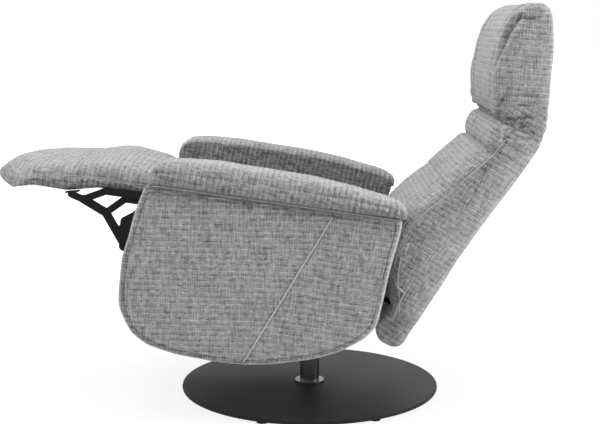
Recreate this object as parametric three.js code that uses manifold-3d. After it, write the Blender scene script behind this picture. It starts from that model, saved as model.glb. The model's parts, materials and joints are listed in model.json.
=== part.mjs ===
// A reclining armchair on a round plate base: a swivel column, a seat shell that tilts, a padded seat and
// arms, a footrest on folding links, a back that reclines and a head that tilts forward.
// Millimetres, +Z up. The sitter faces -Y and the sitter's left is +X. The origin is on the swivel axis
// at floor level. The pose is the one with the footrest out, the shell tilted back and the head forward.

import * as THREE from "three";
import { mergeVertices } from "three/addons/utils/BufferGeometryUtils.js";
import Module from "manifold-3d";

const wasm = await Module();
wasm.setup();

const { degToRad } = THREE.MathUtils;

// Fits that the whole chair shares
const fit = 0.3;
const turningFit = 0.5;
const overrun = 2;
const roundSides = 16;
const arcPoints = 16;
const curveSteps = 24;

// Base plate and column
const plateRadius = 350;
const plateThickness = 10;
const plateRimDrop = 1.5;
const plateRimRadius = 4;
const plateHubRadius = 70;
const plateSides = 72;
const glideHeight = 6;
const glideRadius = 15;
const glideInset = 15;
const glideCount = 7;
const glidePhase = degToRad(-20.3);
const columnRadius = 26.5;
const columnWall = 4;
const columnHeight = 108;
const columnFlangeRadius = 40;
const columnFlangeHeight = 5;
const bushWall = 3;
const bushLength = 60;
const collarRadius = 33;
const collarHeight = 9;

// Yoke on the spindle and the shaft that the seat shell tilts on
const yokeWidth = 130;
const yokeLength = 130;
const yokePlate = 6;
const yokeCheekLength = 60;
const yokeCheekRise = 18;
const spindleDrop = 45;
const shaftRadius = 8;
const tiltReach = 30;
const tiltDrop = 80;
const restTilt = degToRad(12);

// Seat shell: boards, cross tubes, rails and the plate that the yoke carries
const boardInside = 250;
const boardThickness = 16;
const frameTube = 30;
const frameHeight = 330;
const tiltPivot = [tiltReach, frameHeight - tiltDrop];
const frontTubeY = -300;
const rearTubeY = 105;
const railWidth = 24;
const railSpread = 170;
const seatPlateThickness = 5;
const seatPlateLength = 170;
const lugThickness = 6;
const lugLength = 56;
const lugGap = 4;
const springMat = 3;
const springMatWidth = 400;

// Side panel outline, as shares of its length from the front and of its height from the bottom
const panelFront = -480;
const panelLength = 649;
const panelBottom = 105;
const panelHeight = 451;
const panelThickness = 78;
const panelEdge = 16;
const panelBottomShares = [
  [0.0154, 0.727],
  [0, 0.492],
  [0.0062, 0.322],
  [0.0196, 0.22],
  [0.047, 0.153],
  [0.088, 0.078],
  [0.1565, 0.029],
  [0.2727, 0.006],
  [0.4076, 0.012],
  [0.5267, 0.029],
  [0.6408, 0.067],
  [0.7807, 0.138],
  [0.8859, 0.22],
  [0.9604, 0.315],
  [0.997, 0.4],
];
const panelTopShares = [
  [0.0324, 0.9007],
  [0.997, 1],
];
const boardInset = 10;

// Arm pad, as shares of its length and of its rise over the panel
const armLength = 625;
const armRise = 95;
const armSetback = 7;
const armWidth = 120;
const armCentre = 300;
const armEdge = 20;
const armTopShares = [
  [0.002, 0.2],
  [0.006, 0.42],
  [0.032, 0.62],
  [0.149, 0.79],
  [0.272, 0.885],
  [0.396, 0.925],
  [0.519, 0.968],
  [0.644, 1],
  [0.772, 0.968],
  [0.9, 0.905],
  [0.975, 0.82],
  [0.998, 0.68],
];
const armLinerWidth = 20;
const armLinerFront = -415;
const armLinerRear = 158;
const armLinerBottom = 484;

// Seat cushion
const seatFront = -418;
const seatRear = 157;
const seatRise = 156;
const seatHalf = 226;
const seatEdge = 34;
const seatCrown = 16;
const seatLow = 0.3;
const seatTopShares = [
  [0, 0.4],
  [0.008, 0.72],
  [0.045, 0.93],
  [0.12, 1],
  [0.28, 0.985],
  [0.45, 0.9],
  [0.62, 0.82],
  [0.8, 0.765],
  [0.93, 0.73],
  [0.985, 0.64],
  [1, 0.42],
];
const seatBottomShares = [
  [0.99, 0.08],
  [0.97, 0],
  [0.03, 0],
  [0.01, 0.1],
];

// Footrest board and cushion
const footHalf = 234;
const footBoardThickness = 10;
const footBoardRear = [-442, 457];
const footBoardRampTop = [-585, 457];
const footBoardRampFoot = [-665, 433];
const footBoardFront = [-750, 429.9];
const footTip = -885;
const footRear = -435;
const footBase = 400;
const footRise = 139;
const footEdge = 24;
const footCrown = 16;
const footBow = 94;
const footLow = 0.25;
const footBowShare = 0.3;
const footTopShares = [
  [0, 0.12],
  [0.011, 0.17],
  [0.03, 0.25],
  [0.06, 0.36],
  [0.1, 0.47],
  [0.189, 0.586],
  [0.329, 0.68],
  [0.433, 0.735],
  [0.522, 0.806],
  [0.578, 0.863],
  [0.633, 0.93],
  [0.731, 0.995],
  [0.833, 0.985],
  [0.92, 0.967],
  [0.975, 0.92],
  [0.998, 0.8],
];
const footNoseShares = [
  [0.18, 0.19],
  [0.1, 0.15],
  [0.02, 0.09],
];

// Footrest links: pivots in the upright shell's frame, as [y, z]
const liftPivot = [-446, 468];
const swingPivot = [-326, 385];
const guidePivot = [-386, 456];
const bracketPivot = [-562, 457];
const kneePivot = [-492, 330];
const guideJoint = [-554, 402];
const footJoint = [-616, 424];
const guideKnee = [-512, 447];
const swingNose = [-500, 392];
const swingBrow = [-468, 418];
const linkThickness = 4;
const linkGap = 1.2;
const linkHalf = 9;
const linkBoss = 11;
const swingHalf = 13;
const pinRadius = 5;
const looseFit = 1.6;
const bracketToe = [-647, 431];
const bracketFlange = 18;
const bracketFlangeLength = 34;
const bracketFlangeThickness = 3;
const stretcherPoint = [-517, 361];
const stretcherRadius = 8;
const linkPlateHalf = 15;
const plateFoot = [-395, 352];

// Back: a slanting frame, its outlines given as depth in front of the rear line and length along it
const backFoot = [259, 258];
const backLean = degToRad(19.1);
const reclineReach = 150;
const reclinePivot = [reclineReach, frameHeight];
const pivotTubeRadius = 11;
const pivotTubeGap = 5.7;
const pivotPinRadius = 6;
const pivotPinLength = 15;
const pivotPlateThickness = 6;
const pivotRootWall = 2.5;
const pivotPlateHalf = 18;
const uprightSpread = 150;
const uprightRadius = 9;
const uprightDepth = 49;
const uprightTop = 582;
const strapThickness = 6;
const strapWidth = 44;
const crossTubeHeight = 430;
const backHalf = 262;
const rollHalf = 240;
const rollBottom = -54;
const rollDepth = 90;
const rollEdge = 10;
const rollShares = [
  [1, 0],
  [0.6, -0.03],
  [0.3, -0.05],
  [0.12, 0.03],
  [0.02, 0.2],
  [0, 0.42],
  [0, 0.62],
  [0.12, 0.8],
  [0.4, 0.98],
  [0.7, 0.98],
  [1, 0.8],
];
const shellTop = 590;
const shellEdge = 12;
const shellBulge = 22;
// Rear line of the back, from its foot up: share of the height, share of the bulge
const shellRearShares = [
  [0, 0],
  [0.28, 0],
  [0.42, 0.11],
  [0.55, 0.27],
  [0.68, 0.55],
  [0.76, 0.77],
  [0.83, 0.9],
  [0.9, 0.96],
  [1, 1],
];
const cushionTop = 497;
const cushionDepth = 180;
// Rows of the back cushion: height, half width, depth at the side seam and depth at the middle
const cushionRowShares = [
  [0, 0.905, 0.367, 0.411],
  [0.07, 0.915, 0.467, 0.544],
  [0.17, 0.95, 0.656, 0.733],
  [0.31, 0.99, 0.833, 0.922],
  [0.44, 1, 0.928, 1],
  [0.565, 1, 0.833, 0.906],
  [0.7, 1, 0.694, 0.767],
  [0.83, 1, 0.611, 0.678],
  [0.94, 0.995, 0.5, 0.572],
  [0.985, 0.985, 0.472, 0.533],
  [1, 0.97, 0.433, 0.478],
];
const neckBottom = 500;
const neckTop = 590;
const neckDepth = 104;
const neckEdge = 14;
const neckShares = [
  [0.03, 0.565],
  [0.03, 0.83],
  [0.14, 0.9],
  [0.32, 0.97],
  [0.5, 1],
  [0.7, 0.985],
  [0.84, 0.9],
  [0.97, 0.74],
  [0.97, 0.565],
];

// Gas spring that holds the back, under the seat on the centre line
const springDrop = 44;
const springHeight = frameHeight - springDrop;
const springFront = -315;
const springLength = 290;
const springRadius = 11;
const springRodRadius = 5;
const springTravel = 26;
const springEyeRadius = 15;
const springEyeBore = 10;
const springEyeThickness = 5;
const leverThickness = 5;
const leverHalf = 12;
const leverPinRadius = 4;
const springLugHalf = 10;

// Head: hinge on the back's frame, then lengths along the head and depth in front of the hinge
const headHinge = [-40, 600];
const headLean = degToRad(27);
const headLength = 304;
const headDepth = 144;
const headBehind = 55;
const headFoot = 10;
const headMiddleHalf = 174;
const headMiddleEdge = 10;
const headCrown = 12;
const wingHalfWidth = 43;
const wingEdge = 22;
const hingeRadius = 8;
const hingeLength = 20;
const hingePinRadius = 3.5;
const hingeNeck = 5;
const headPlateThickness = 4;
const headPlateHalf = 132;
const headPlateHeight = 210;
// Head outlines: share of the length along, share of the depth from the rear
const wingFrontShares = [
  [0.058, 0],
  [0.5, 0.008],
  [0.68, 0.03],
  [0.8, 0.06],
  [0.88, 0.09],
  [0.93, 0.14],
  [0.962, 0.21],
  [0.977, 0.31],
  [0.974, 0.42],
  [0.956, 0.52],
  [0.918, 0.635],
  [0.864, 0.748],
  [0.759, 0.872],
  [0.622, 0.948],
  [0.473, 0.985],
  [0.34, 1],
  [0.204, 0.98],
  [0.12, 0.955],
  [0.05, 0.9],
];
const middleFrontShares = [
  [0.058, 0],
  [0.6, 0],
  [0.82, 0.02],
  [0.92, 0.05],
  [0.965, 0.1],
  [0.99, 0.18],
  [1, 0.3],
  [0.998, 0.42],
  [0.982, 0.53],
  [0.94, 0.64],
  [0.88, 0.755],
  [0.77, 0.88],
  [0.63, 0.952],
  [0.48, 0.99],
  [0.34, 1],
  [0.2, 0.98],
  [0.12, 0.955],
  [0.05, 0.9],
];

// Push buttons inside the right arm
const buttonCentre = [-135, 553];
const buttonSpacing = 26;
const buttonRadius = 8;
const buttonHeight = 5;
const buttonTravel = 3;
const bezelLength = 58;
const bezelHeight = 22;
const bezelThickness = 5;
const bezelFloor = 1;

const finish = (color, roughness, metalness) =>
  new THREE.MeshStandardMaterial({ color, roughness, metalness });
const finishes = {
  cloth: finish(0x9b9a98, 0.95, 0),
  plate: finish(0x34363a, 0.5, 0.6),
  column: finish(0x55575a, 0.35, 0.9),
  blackSteel: finish(0x17181a, 0.5, 0.5),
  steel: finish(0x8b8d90, 0.3, 0.9),
  chrome: finish(0xc9cbce, 0.12, 1),
  wood: finish(0xb08d62, 0.7, 0),
  nylon: finish(0x1c1c1d, 0.6, 0),
};

// Joins and cuts

const solidOf = (geometry) => {
  const bare = geometry.clone();
  bare.deleteAttribute("normal");
  bare.deleteAttribute("uv");
  const merged = mergeVertices(bare);
  const vertProperties = new Float32Array(merged.attributes.position.array);
  const triVerts = new Uint32Array(merged.index.array);
  return new wasm.Manifold(new wasm.Mesh({ numProp: 3, vertProperties, triVerts }));
};

const geometryOf = (solid) => {
  const { vertProperties, triVerts } = solid.getMesh();
  const geometry = new THREE.BufferGeometry();
  geometry.setAttribute("position", new THREE.BufferAttribute(vertProperties, 3));
  geometry.setIndex(new THREE.BufferAttribute(triVerts, 1));
  geometry.computeVertexNormals();
  return geometry;
};

const joined = (pieces) => pieces.map(solidOf).reduce((whole, piece) => whole.add(piece));

const worked = (pieces, cuts) => {
  const whole = joined(pieces);
  return geometryOf(cuts.length ? whole.subtract(joined(cuts)) : whole);
};

// Simple solids

const box = (x, y, z, width, length, height) => {
  const geometry = new THREE.BoxGeometry(width, length, height);
  geometry.translate(x, y, z);
  return geometry;
};

// A round bar along X between two values of x, at [y, z]
const rodAcross = ([y, z], radius, from, to) => {
  const geometry = new THREE.CylinderGeometry(radius, radius, Math.abs(to - from), roundSides);
  geometry.rotateZ(Math.PI / 2);
  geometry.translate((from + to) / 2, y, z);
  return geometry;
};

// A round bar along Y between two values of y
const rodAlong = (x, z, radius, from, to) => {
  const geometry = new THREE.CylinderGeometry(radius, radius, Math.abs(to - from), roundSides);
  geometry.translate(x, (from + to) / 2, z);
  return geometry;
};

// A round bar along Z between two heights
const rodUp = (x, y, radius, from, to) => {
  const geometry = new THREE.CylinderGeometry(radius, radius, Math.abs(to - from), roundSides);
  geometry.rotateX(Math.PI / 2);
  geometry.translate(x, y, (from + to) / 2);
  return geometry;
};

const turned = (profile, sides) => {
  const geometry = new THREE.LatheGeometry(profile.map(([r, z]) => new THREE.Vector2(r, z)), sides);
  geometry.rotateX(Math.PI / 2);
  return geometry;
};

// An outline in the Y-Z plane carried along X from x by its thickness
const acrossX = new THREE.Matrix4().makeBasis(
  new THREE.Vector3(0, 1, 0),
  new THREE.Vector3(0, 0, 1),
  new THREE.Vector3(1, 0, 0),
);
const sidePlate = (shape, x, thickness) => {
  const geometry = new THREE.ExtrudeGeometry(shape, { depth: thickness, bevelEnabled: false });
  geometry.applyMatrix4(acrossX);
  geometry.translate(x, 0, 0);
  return geometry;
};

// The outline that a string pulled tight round circles would take, each circle given as [[y, z], radius]
const tightShape = (circles) => {
  const points = circles.flatMap(([[y, z], radius]) =>
    Array.from({ length: arcPoints }, (_, k) => {
      const angle = (2 * Math.PI * k) / arcPoints;
      return new THREE.Vector2(y + radius * Math.cos(angle), z + radius * Math.sin(angle));
    }),
  );
  points.sort((a, b) => a.x - b.x || a.y - b.y);
  const half = (list) => {
    const chain = [];
    for (const point of list) {
      while (chain.length > 1) {
        const [a, b] = chain.slice(-2);
        if ((b.x - a.x) * (point.y - a.y) - (b.y - a.y) * (point.x - a.x) > 0) break;
        chain.pop();
      }
      chain.push(point);
    }
    return chain.slice(0, -1);
  };
  return new THREE.Shape([...half(points), ...half([...points].reverse())]);
};

const barShape = (p, q, radius) =>
  tightShape([
    [p, radius],
    [q, radius],
  ]);

const flatShape = (points) => new THREE.Shape(points.map(([y, z]) => new THREE.Vector2(y, z)));

// Soft solids: rings of points joined into one closed skin

const skin = (rings) => {
  const count = rings[0].length;
  const points = rings.flat();
  const index = [];
  for (let r = 0; r + 1 < rings.length; r += 1) {
    for (let k = 0; k < count; k += 1) {
      const a = r * count + k;
      const b = r * count + ((k + 1) % count);
      index.push(a, b, b + count, a, b + count, a + count);
    }
  }
  for (const [ring, offset, order] of [
    [rings[0], 0, -1],
    [rings[rings.length - 1], (rings.length - 1) * count, 1],
  ]) {
    const middle = ring.reduce((sum, p) => sum.add(p), new THREE.Vector3()).divideScalar(count);
    const centre = points.push(middle) - 1;
    for (let k = 0; k < count; k += 1) {
      const a = offset + k;
      const b = offset + ((k + 1) % count);
      if (order > 0) index.push(a, b, centre);
      else index.push(b, a, centre);
    }
  }
  const geometry = new THREE.BufferGeometry().setFromPoints(points);
  geometry.setIndex(index);
  let volume = 0;
  for (let t = 0; t < index.length; t += 3) {
    const [a, b, c] = [points[index[t]], points[index[t + 1]], points[index[t + 2]]];
    volume += a.dot(b.clone().cross(c));
  }
  if (volume < 0) {
    for (let t = 0; t < index.length; t += 3) [index[t], index[t + 1]] = [index[t + 1], index[t]];
    geometry.setIndex(index);
  }
  geometry.computeVertexNormals();
  return geometry;
};

const placed = (shares, front, bottom, length, height) =>
  shares.map(([s, t]) => [front + s * length, bottom + t * height]);

const smooth = (points, steps) => {
  const knots = points.map(([y, z]) => new THREE.Vector3(0, y, z));
  const curve = new THREE.CatmullRomCurve3(knots, false, "centripetal");
  return curve.getSpacedPoints(steps).map((p) => [p.y, p.z]);
};

// Where the rings lie across a cushion, as shares of its half width
const ringShares = [-1, -0.985, -0.93, -0.82, -0.6, -0.3, 0, 0.3, 0.6, 0.82, 0.93, 0.985, 1];
const drawShare = 0.8;

// A cushion carried across X. Its outline is a top from front to rear and a bottom from rear to front. Near
// the sides it draws in by the edge, its top drops by the crown and its front stands back by the bow. Low
// says how far up the drawn-in middle lies, and a flat cushion keeps its bottom where it is.
const plainPillow = { flat: false, centre: 0, crown: 0, bow: 0, bowShare: 1, low: 0.5 };
const pillow = (given) => {
  const { top, bottom, flat, centre, half, edge, crown, bow, bowShare, low } = { ...plainPillow, ...given };
  const outline = [...top, ...bottom];
  const ys = outline.map(([y]) => y);
  const zs = outline.map(([, z]) => z);
  const [yFront, yRear] = [Math.min(...ys), Math.max(...ys)];
  const [zLow, zHigh] = [Math.min(...zs), Math.max(...zs)];
  const [yMiddle, zMiddle] = [(yFront + yRear) / 2, zLow + low * (zHigh - zLow)];
  const rings = ringShares.map((share) => {
    const run = Math.max(0, Math.abs(share) * half - (half - edge)) / edge;
    const inset = edge * (1 - Math.sqrt(Math.max(0, 1 - run * run))) * drawShare;
    const thinned = 1 - inset / ((zHigh - zLow) * Math.max(low, 1 - low));
    return outline.map(([y, z], k) => {
      const along = (y - yFront) / (yRear - yFront);
      const up = (z - zLow) / (zHigh - zLow);
      const back = bow * share * share * Math.max(0, 1 - along / bowShare);
      const drawnY = yMiddle + (y - yMiddle) * (1 - (2 * inset) / (yRear - yFront));
      const drawnZ = zMiddle + (z - zMiddle) * thinned - crown * share * share * up;
      const kept = flat && k >= top.length;
      return new THREE.Vector3(centre + share * half, (kept ? y : drawnY) + back, kept ? z : drawnZ);
    });
  });
  return skin(rings);
};

// Groups: the base stands still, the swivel group turns, and the shell group tilts about the yoke's shaft

const chair = new THREE.Group();
const shell = new THREE.Group();
const shellTilt = new THREE.Group();
shellTilt.position.set(0, tiltPivot[0], tiltPivot[1]);
shellTilt.rotation.x = -restTilt;
shell.position.set(0, -tiltPivot[0], -tiltPivot[1]);
shellTilt.add(shell);
chair.add(shellTilt);

const back = new THREE.Group();
back.position.set(0, backFoot[0], backFoot[1]);
back.rotation.x = -backLean;
shell.add(back);

const head = new THREE.Group();
head.position.set(0, headHinge[0], headHinge[1]);
head.rotation.x = headLean;
back.add(head);

const add = (group, name, geometry, material) => {
  const mesh = new THREE.Mesh(geometry, material.clone());
  mesh.name = name;
  group.add(mesh);
};

const sides = [
  ["left", 1],
  ["right", -1],
];

// The low end of a span that starts at x on the left and is mirrored on the right
const spanStart = (side, x, width) => (side > 0 ? x : -x - width);

// Base: plate, glides, column and bush

const plateBottom = glideHeight;
const plateTop = plateBottom + plateThickness;

const addBase = () => {
  const rim = plateTop - plateRimDrop;
  const bore = columnRadius - columnWall;
  const plate = turned(
    [
      [0, plateBottom],
      [plateRadius - plateRimRadius, plateBottom],
      [plateRadius - plateRimRadius / 4, plateBottom + plateRimRadius / 4],
      [plateRadius, plateBottom + plateRimRadius],
      [plateRadius - plateRimRadius / 4, rim - plateRimRadius / 4],
      [plateRadius - plateRimRadius, rim],
      [plateHubRadius, plateTop],
      [0, plateTop],
    ],
    plateSides,
  );
  add(chair, "base_plate", plate, finishes.plate);
  for (let k = 0; k < glideCount; k += 1) {
    const angle = glidePhase + (k * 2 * Math.PI) / glideCount;
    const reach = plateRadius - glideInset - glideRadius / 2;
    const [x, y] = [reach * Math.cos(angle), reach * Math.sin(angle)];
    const glide = rodUp(x, y, glideRadius, 0, glideHeight - fit / 2);
    add(chair, `glide_${k + 1}`, glide, finishes.nylon);
  }
  const columnFoot = plateTop + fit;
  const columnTop = columnFoot + columnHeight;
  const column = turned(
    [
      [bore, columnFoot],
      [columnFlangeRadius, columnFoot],
      [columnFlangeRadius, columnFoot + columnFlangeHeight],
      [columnRadius, columnFoot + columnFlangeHeight],
      [columnRadius, columnTop],
      [bore, columnTop],
      [bore, columnFoot],
    ],
    roundSides * 2,
  );
  add(chair, "column_tube", column, finishes.column);
  const bushOut = bore - fit;
  const bush = turned(
    [
      [bushOut - bushWall, columnTop - bushLength],
      [bushOut, columnTop - bushLength],
      [bushOut, columnTop],
      [bushOut - bushWall, columnTop],
      [bushOut - bushWall, columnTop - bushLength],
    ],
    roundSides * 2,
  );
  add(chair, "column_bush", bush, finishes.nylon);
  return { columnTop, spindleRadius: bushOut - bushWall - fit };
};

// Swivel: spindle, collar, yoke and tilt shaft

const addSwivel = ({ columnTop, spindleRadius }) => {
  const spindleTop = tiltPivot[1] - spindleDrop;
  const spindle = turned(
    [
      [0, plateTop + fit],
      [spindleRadius, plateTop + fit],
      [spindleRadius, spindleTop],
      [0, spindleTop],
    ],
    roundSides * 2,
  );
  add(chair, "swivel_spindle", spindle, finishes.steel);
  const collar = turned(
    [
      [spindleRadius + fit, columnTop + fit],
      [collarRadius, columnTop + fit],
      [collarRadius, columnTop + collarHeight],
      [spindleRadius + fit, columnTop + collarHeight],
      [spindleRadius + fit, columnTop + fit],
    ],
    roundSides * 2,
  );
  add(chair, "swivel_collar", collar, finishes.nylon);
  const yokeBottom = spindleTop + fit;
  const cheekHeight = tiltPivot[1] + yokeCheekRise - yokeBottom;
  const cheekX = (yokeWidth - yokePlate) / 2;
  const yoke = worked(
    [
      box(0, 0, yokeBottom + yokePlate / 2, yokeWidth, yokeLength, yokePlate),
      ...sides.map(([, side]) =>
        box(
          side * cheekX,
          tiltPivot[0],
          yokeBottom + cheekHeight / 2,
          yokePlate,
          yokeCheekLength,
          cheekHeight,
        ),
      ),
    ],
    [rodAcross(tiltPivot, shaftRadius + fit, -yokeWidth, yokeWidth)],
  );
  add(chair, "swivel_yoke", yoke, finishes.blackSteel);
  const shaftHalf = yokeWidth / 2 + lugGap + lugThickness + overrun;
  add(chair, "tilt_shaft", rodAcross(tiltPivot, shaftRadius, -shaftHalf, shaftHalf), finishes.steel);
};

// Seat shell frame

const frameTop = frameHeight + frameTube / 2;
const frameBottom = frameHeight - frameTube / 2;
const boardOutside = boardInside + boardThickness;

const addFrame = () => {
  const tubeHalf = boardInside - fit;
  for (const [name, y] of [
    ["front_cross_tube", frontTubeY],
    ["rear_cross_tube", rearTubeY],
  ]) {
    const tube = box(0, y, frameHeight, 2 * tubeHalf, frameTube, frameTube);
    add(shell, name, tube, finishes.blackSteel);
  }
  const railFront = frontTubeY + frameTube / 2 + fit;
  const railRear = rearTubeY - frameTube / 2 - fit;
  const railMiddle = (railFront + railRear) / 2;
  for (const [name, side] of sides) {
    const rail = box(side * railSpread, railMiddle, frameHeight, railWidth, railRear - railFront, frameTube);
    add(shell, `seat_rail_${name}`, rail, finishes.blackSteel);
  }
  const plateWidth = 2 * (railSpread + railWidth / 2);
  const plateUnder = frameBottom - fit - seatPlateThickness;
  const lugX = yokeWidth / 2 + lugGap + lugThickness / 2;
  const lugFoot = tiltPivot[1] - lugLength / 2;
  const seatPlate = worked(
    [
      box(
        0,
        tiltPivot[0],
        plateUnder + seatPlateThickness / 2,
        plateWidth,
        seatPlateLength,
        seatPlateThickness,
      ),
      ...sides.map(([, side]) =>
        box(
          side * lugX,
          tiltPivot[0],
          (lugFoot + plateUnder + overrun) / 2,
          lugThickness,
          lugLength,
          plateUnder + overrun - lugFoot,
        ),
      ),
    ],
    [rodAcross(tiltPivot, shaftRadius + turningFit, -yokeWidth, yokeWidth)],
  );
  add(shell, "seat_plate", seatPlate, finishes.blackSteel);
  const matLength = rearTubeY - frontTubeY + frameTube;
  const mat = box(
    0,
    (rearTubeY + frontTubeY) / 2,
    frameTop + fit + springMat / 2,
    springMatWidth,
    matLength,
    springMat,
  );
  add(shell, "spring_mat", mat, finishes.nylon);
};

const seatBottom = frameTop + springMat + 2 * fit;

const addSeatCushion = () => {
  const length = seatRear - seatFront;
  const top = smooth(placed(seatTopShares, seatFront, seatBottom, length, seatRise), curveSteps);
  const bottom = placed(seatBottomShares, seatFront, seatBottom, length, seatRise);
  const cushion = pillow({
    top,
    bottom,
    flat: true,
    half: seatHalf,
    edge: seatEdge,
    crown: seatCrown,
    low: seatLow,
  });
  add(shell, "seat_cushion", cushion, finishes.cloth);
};

// Sides: board, padded panel, and arm pad with the liner under its inner edge

const panelTop = placed(panelTopShares, panelFront, panelBottom, panelLength, panelHeight);

const addSides = () => {
  const panelFoot = placed(panelBottomShares, panelFront, panelBottom, panelLength, panelHeight);
  const panelCurve = smooth(panelFoot, curveSteps);
  const outline = [...panelCurve, panelTop[1], panelTop[0]];
  const ys = outline.map(([y]) => y);
  const zs = outline.map(([, z]) => z);
  const middle = [(Math.min(...ys) + Math.max(...ys)) / 2, (Math.min(...zs) + Math.max(...zs)) / 2];
  const boardOutline = outline.map(([y, z]) => [
    middle[0] + (y - middle[0]) * (1 - (2 * boardInset) / panelLength),
    middle[1] + (z - middle[1]) * (1 - (2 * boardInset) / panelHeight),
  ]);
  const slope = (panelTop[1][1] - panelTop[0][1]) / (panelTop[1][0] - panelTop[0][0]);
  const armFoot = (y) => panelTop[0][1] + slope * (y - panelTop[0][0]) + fit;
  const armFront = panelTop[0][0] + armSetback;
  const armBottom = armFoot(armFront);
  const armTop = smooth(placed(armTopShares, armFront, armBottom, armLength, armRise), curveSteps);
  const armUnder = [
    [armFront + armLength, armFoot(armFront + armLength)],
    [armFront, armBottom],
  ];
  const linerTop = (y) => armFoot(y) + overrun;
  const linerShape = flatShape([
    [armLinerFront, armLinerBottom],
    [armLinerRear, armLinerBottom],
    [armLinerRear, linerTop(armLinerRear)],
    [armLinerFront, linerTop(armLinerFront)],
  ]);
  for (const [name, side] of sides) {
    const boardStart = spanStart(side, boardInside, boardThickness);
    const board = sidePlate(flatShape(boardOutline), boardStart, boardThickness);
    add(shell, `side_board_${name}`, board, finishes.wood);
    const panelMiddle = boardOutside + fit + panelThickness / 2;
    const panel = pillow({
      top: panelCurve,
      bottom: [panelTop[1], panelTop[0]],
      centre: side * panelMiddle,
      half: panelThickness / 2,
      edge: panelEdge,
    });
    add(shell, `side_panel_${name}`, panel, finishes.cloth);
    const arm = pillow({
      top: armTop,
      bottom: armUnder,
      flat: true,
      centre: side * armCentre,
      half: armWidth / 2,
      edge: armEdge,
      low: 0,
    });
    const linerStart = spanStart(side, boardInside - fit - armLinerWidth, armLinerWidth);
    const liner = sidePlate(linerShape, linerStart, armLinerWidth);
    add(shell, `arm_pad_${name}`, worked([arm, liner], []), finishes.cloth);
  }
};

// Footrest links, in three layers inside the side boards

const plateLayer = boardInside - fit - linkThickness;
const outerLayer = plateLayer - linkGap - linkThickness;
const middleLayer = outerLayer - linkGap - linkThickness;
const innerLayer = middleLayer - linkGap - linkThickness;

// A flat link: outlines in one layer, pins that reach to another layer, and holes
const link = (side, layer, outlines, pins, holes) => {
  const start = spanStart(side, layer, linkThickness);
  const plates = outlines.map((circles) => sidePlate(tightShape(circles), start, linkThickness));
  const middle = layer + linkThickness / 2;
  const rods = pins.map(([p, to]) => rodAcross(p, pinRadius, side * middle, side * to));
  const bores = holes.map(([p, gap]) =>
    rodAcross(p, pinRadius + gap, side * (layer - overrun), side * (layer + linkThickness + overrun)),
  );
  return worked([...plates, ...rods], bores);
};

const addLinks = () => {
  const tubeCorner = [frontTubeY, frameHeight];
  for (const [name, side] of sides) {
    const plate = link(
      side,
      plateLayer,
      [
        [
          [liftPivot, linkBoss],
          [guidePivot, linkPlateHalf],
          [tubeCorner, frameTube],
          [plateFoot, linkPlateHalf],
        ],
      ],
      [
        [liftPivot, outerLayer],
        [swingPivot, outerLayer],
        [guidePivot, middleLayer],
      ],
      [],
    );
    const tubeHole = box(0, frontTubeY, frameHeight, 4 * boardInside, frameTube + 2 * fit, frameTube + 2 * fit);
    const plateSolid = geometryOf(solidOf(plate).subtract(solidOf(tubeHole)));
    add(shell, `link_plate_${name}`, plateSolid, finishes.blackSteel);

    const lift = link(
      side,
      outerLayer,
      [
        [
          [liftPivot, linkBoss],
          [bracketPivot, linkHalf],
        ],
      ],
      [],
      [
        [liftPivot, turningFit],
        [bracketPivot, turningFit],
      ],
    );
    add(shell, `lift_link_${name}`, lift, finishes.blackSteel);

    const swing = link(
      side,
      outerLayer,
      [
        [
          [swingPivot, swingHalf],
          [kneePivot, swingHalf],
          [swingNose, swingHalf],
          [swingBrow, swingHalf],
        ],
      ],
      [],
      [
        [swingPivot, turningFit],
        [kneePivot, turningFit],
      ],
    );
    add(shell, `swing_link_${name}`, swing, finishes.blackSteel);

    const guide = link(
      side,
      middleLayer,
      [
        [
          [guidePivot, linkHalf],
          [guideKnee, linkHalf],
        ],
        [
          [guideKnee, linkHalf],
          [guideJoint, linkHalf],
        ],
      ],
      [[guideJoint, innerLayer]],
      [[guidePivot, turningFit]],
    );
    add(shell, `guide_link_${name}`, guide, finishes.blackSteel);

    const knee = link(
      side,
      innerLayer,
      [
        [
          [kneePivot, linkBoss],
          [guideJoint, linkBoss],
        ],
        [
          [guideJoint, linkBoss],
          [footJoint, linkBoss],
        ],
      ],
      [[kneePivot, outerLayer + linkThickness]],
      [
        [guideJoint, looseFit],
        [footJoint, looseFit],
      ],
    );
    add(shell, `knee_link_${name}`, knee, finishes.blackSteel);
  }
  const stretcherHalf = innerLayer - fit;
  const stretcher = rodAcross(stretcherPoint, stretcherRadius, -stretcherHalf, stretcherHalf);
  add(shell, "link_stretcher", stretcher, finishes.blackSteel);
};

// Footrest: brackets, board and cushion

const boardLineAt = (y) => {
  const line = [footBoardRear, footBoardRampTop, footBoardRampFoot, footBoardFront];
  const index = line.slice(1, -1).filter((point) => y < point[0]).length;
  const [from, to] = [line[index], line[index + 1]];
  return from[1] + ((to[1] - from[1]) * (y - from[0])) / (to[0] - from[0]);
};

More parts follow.
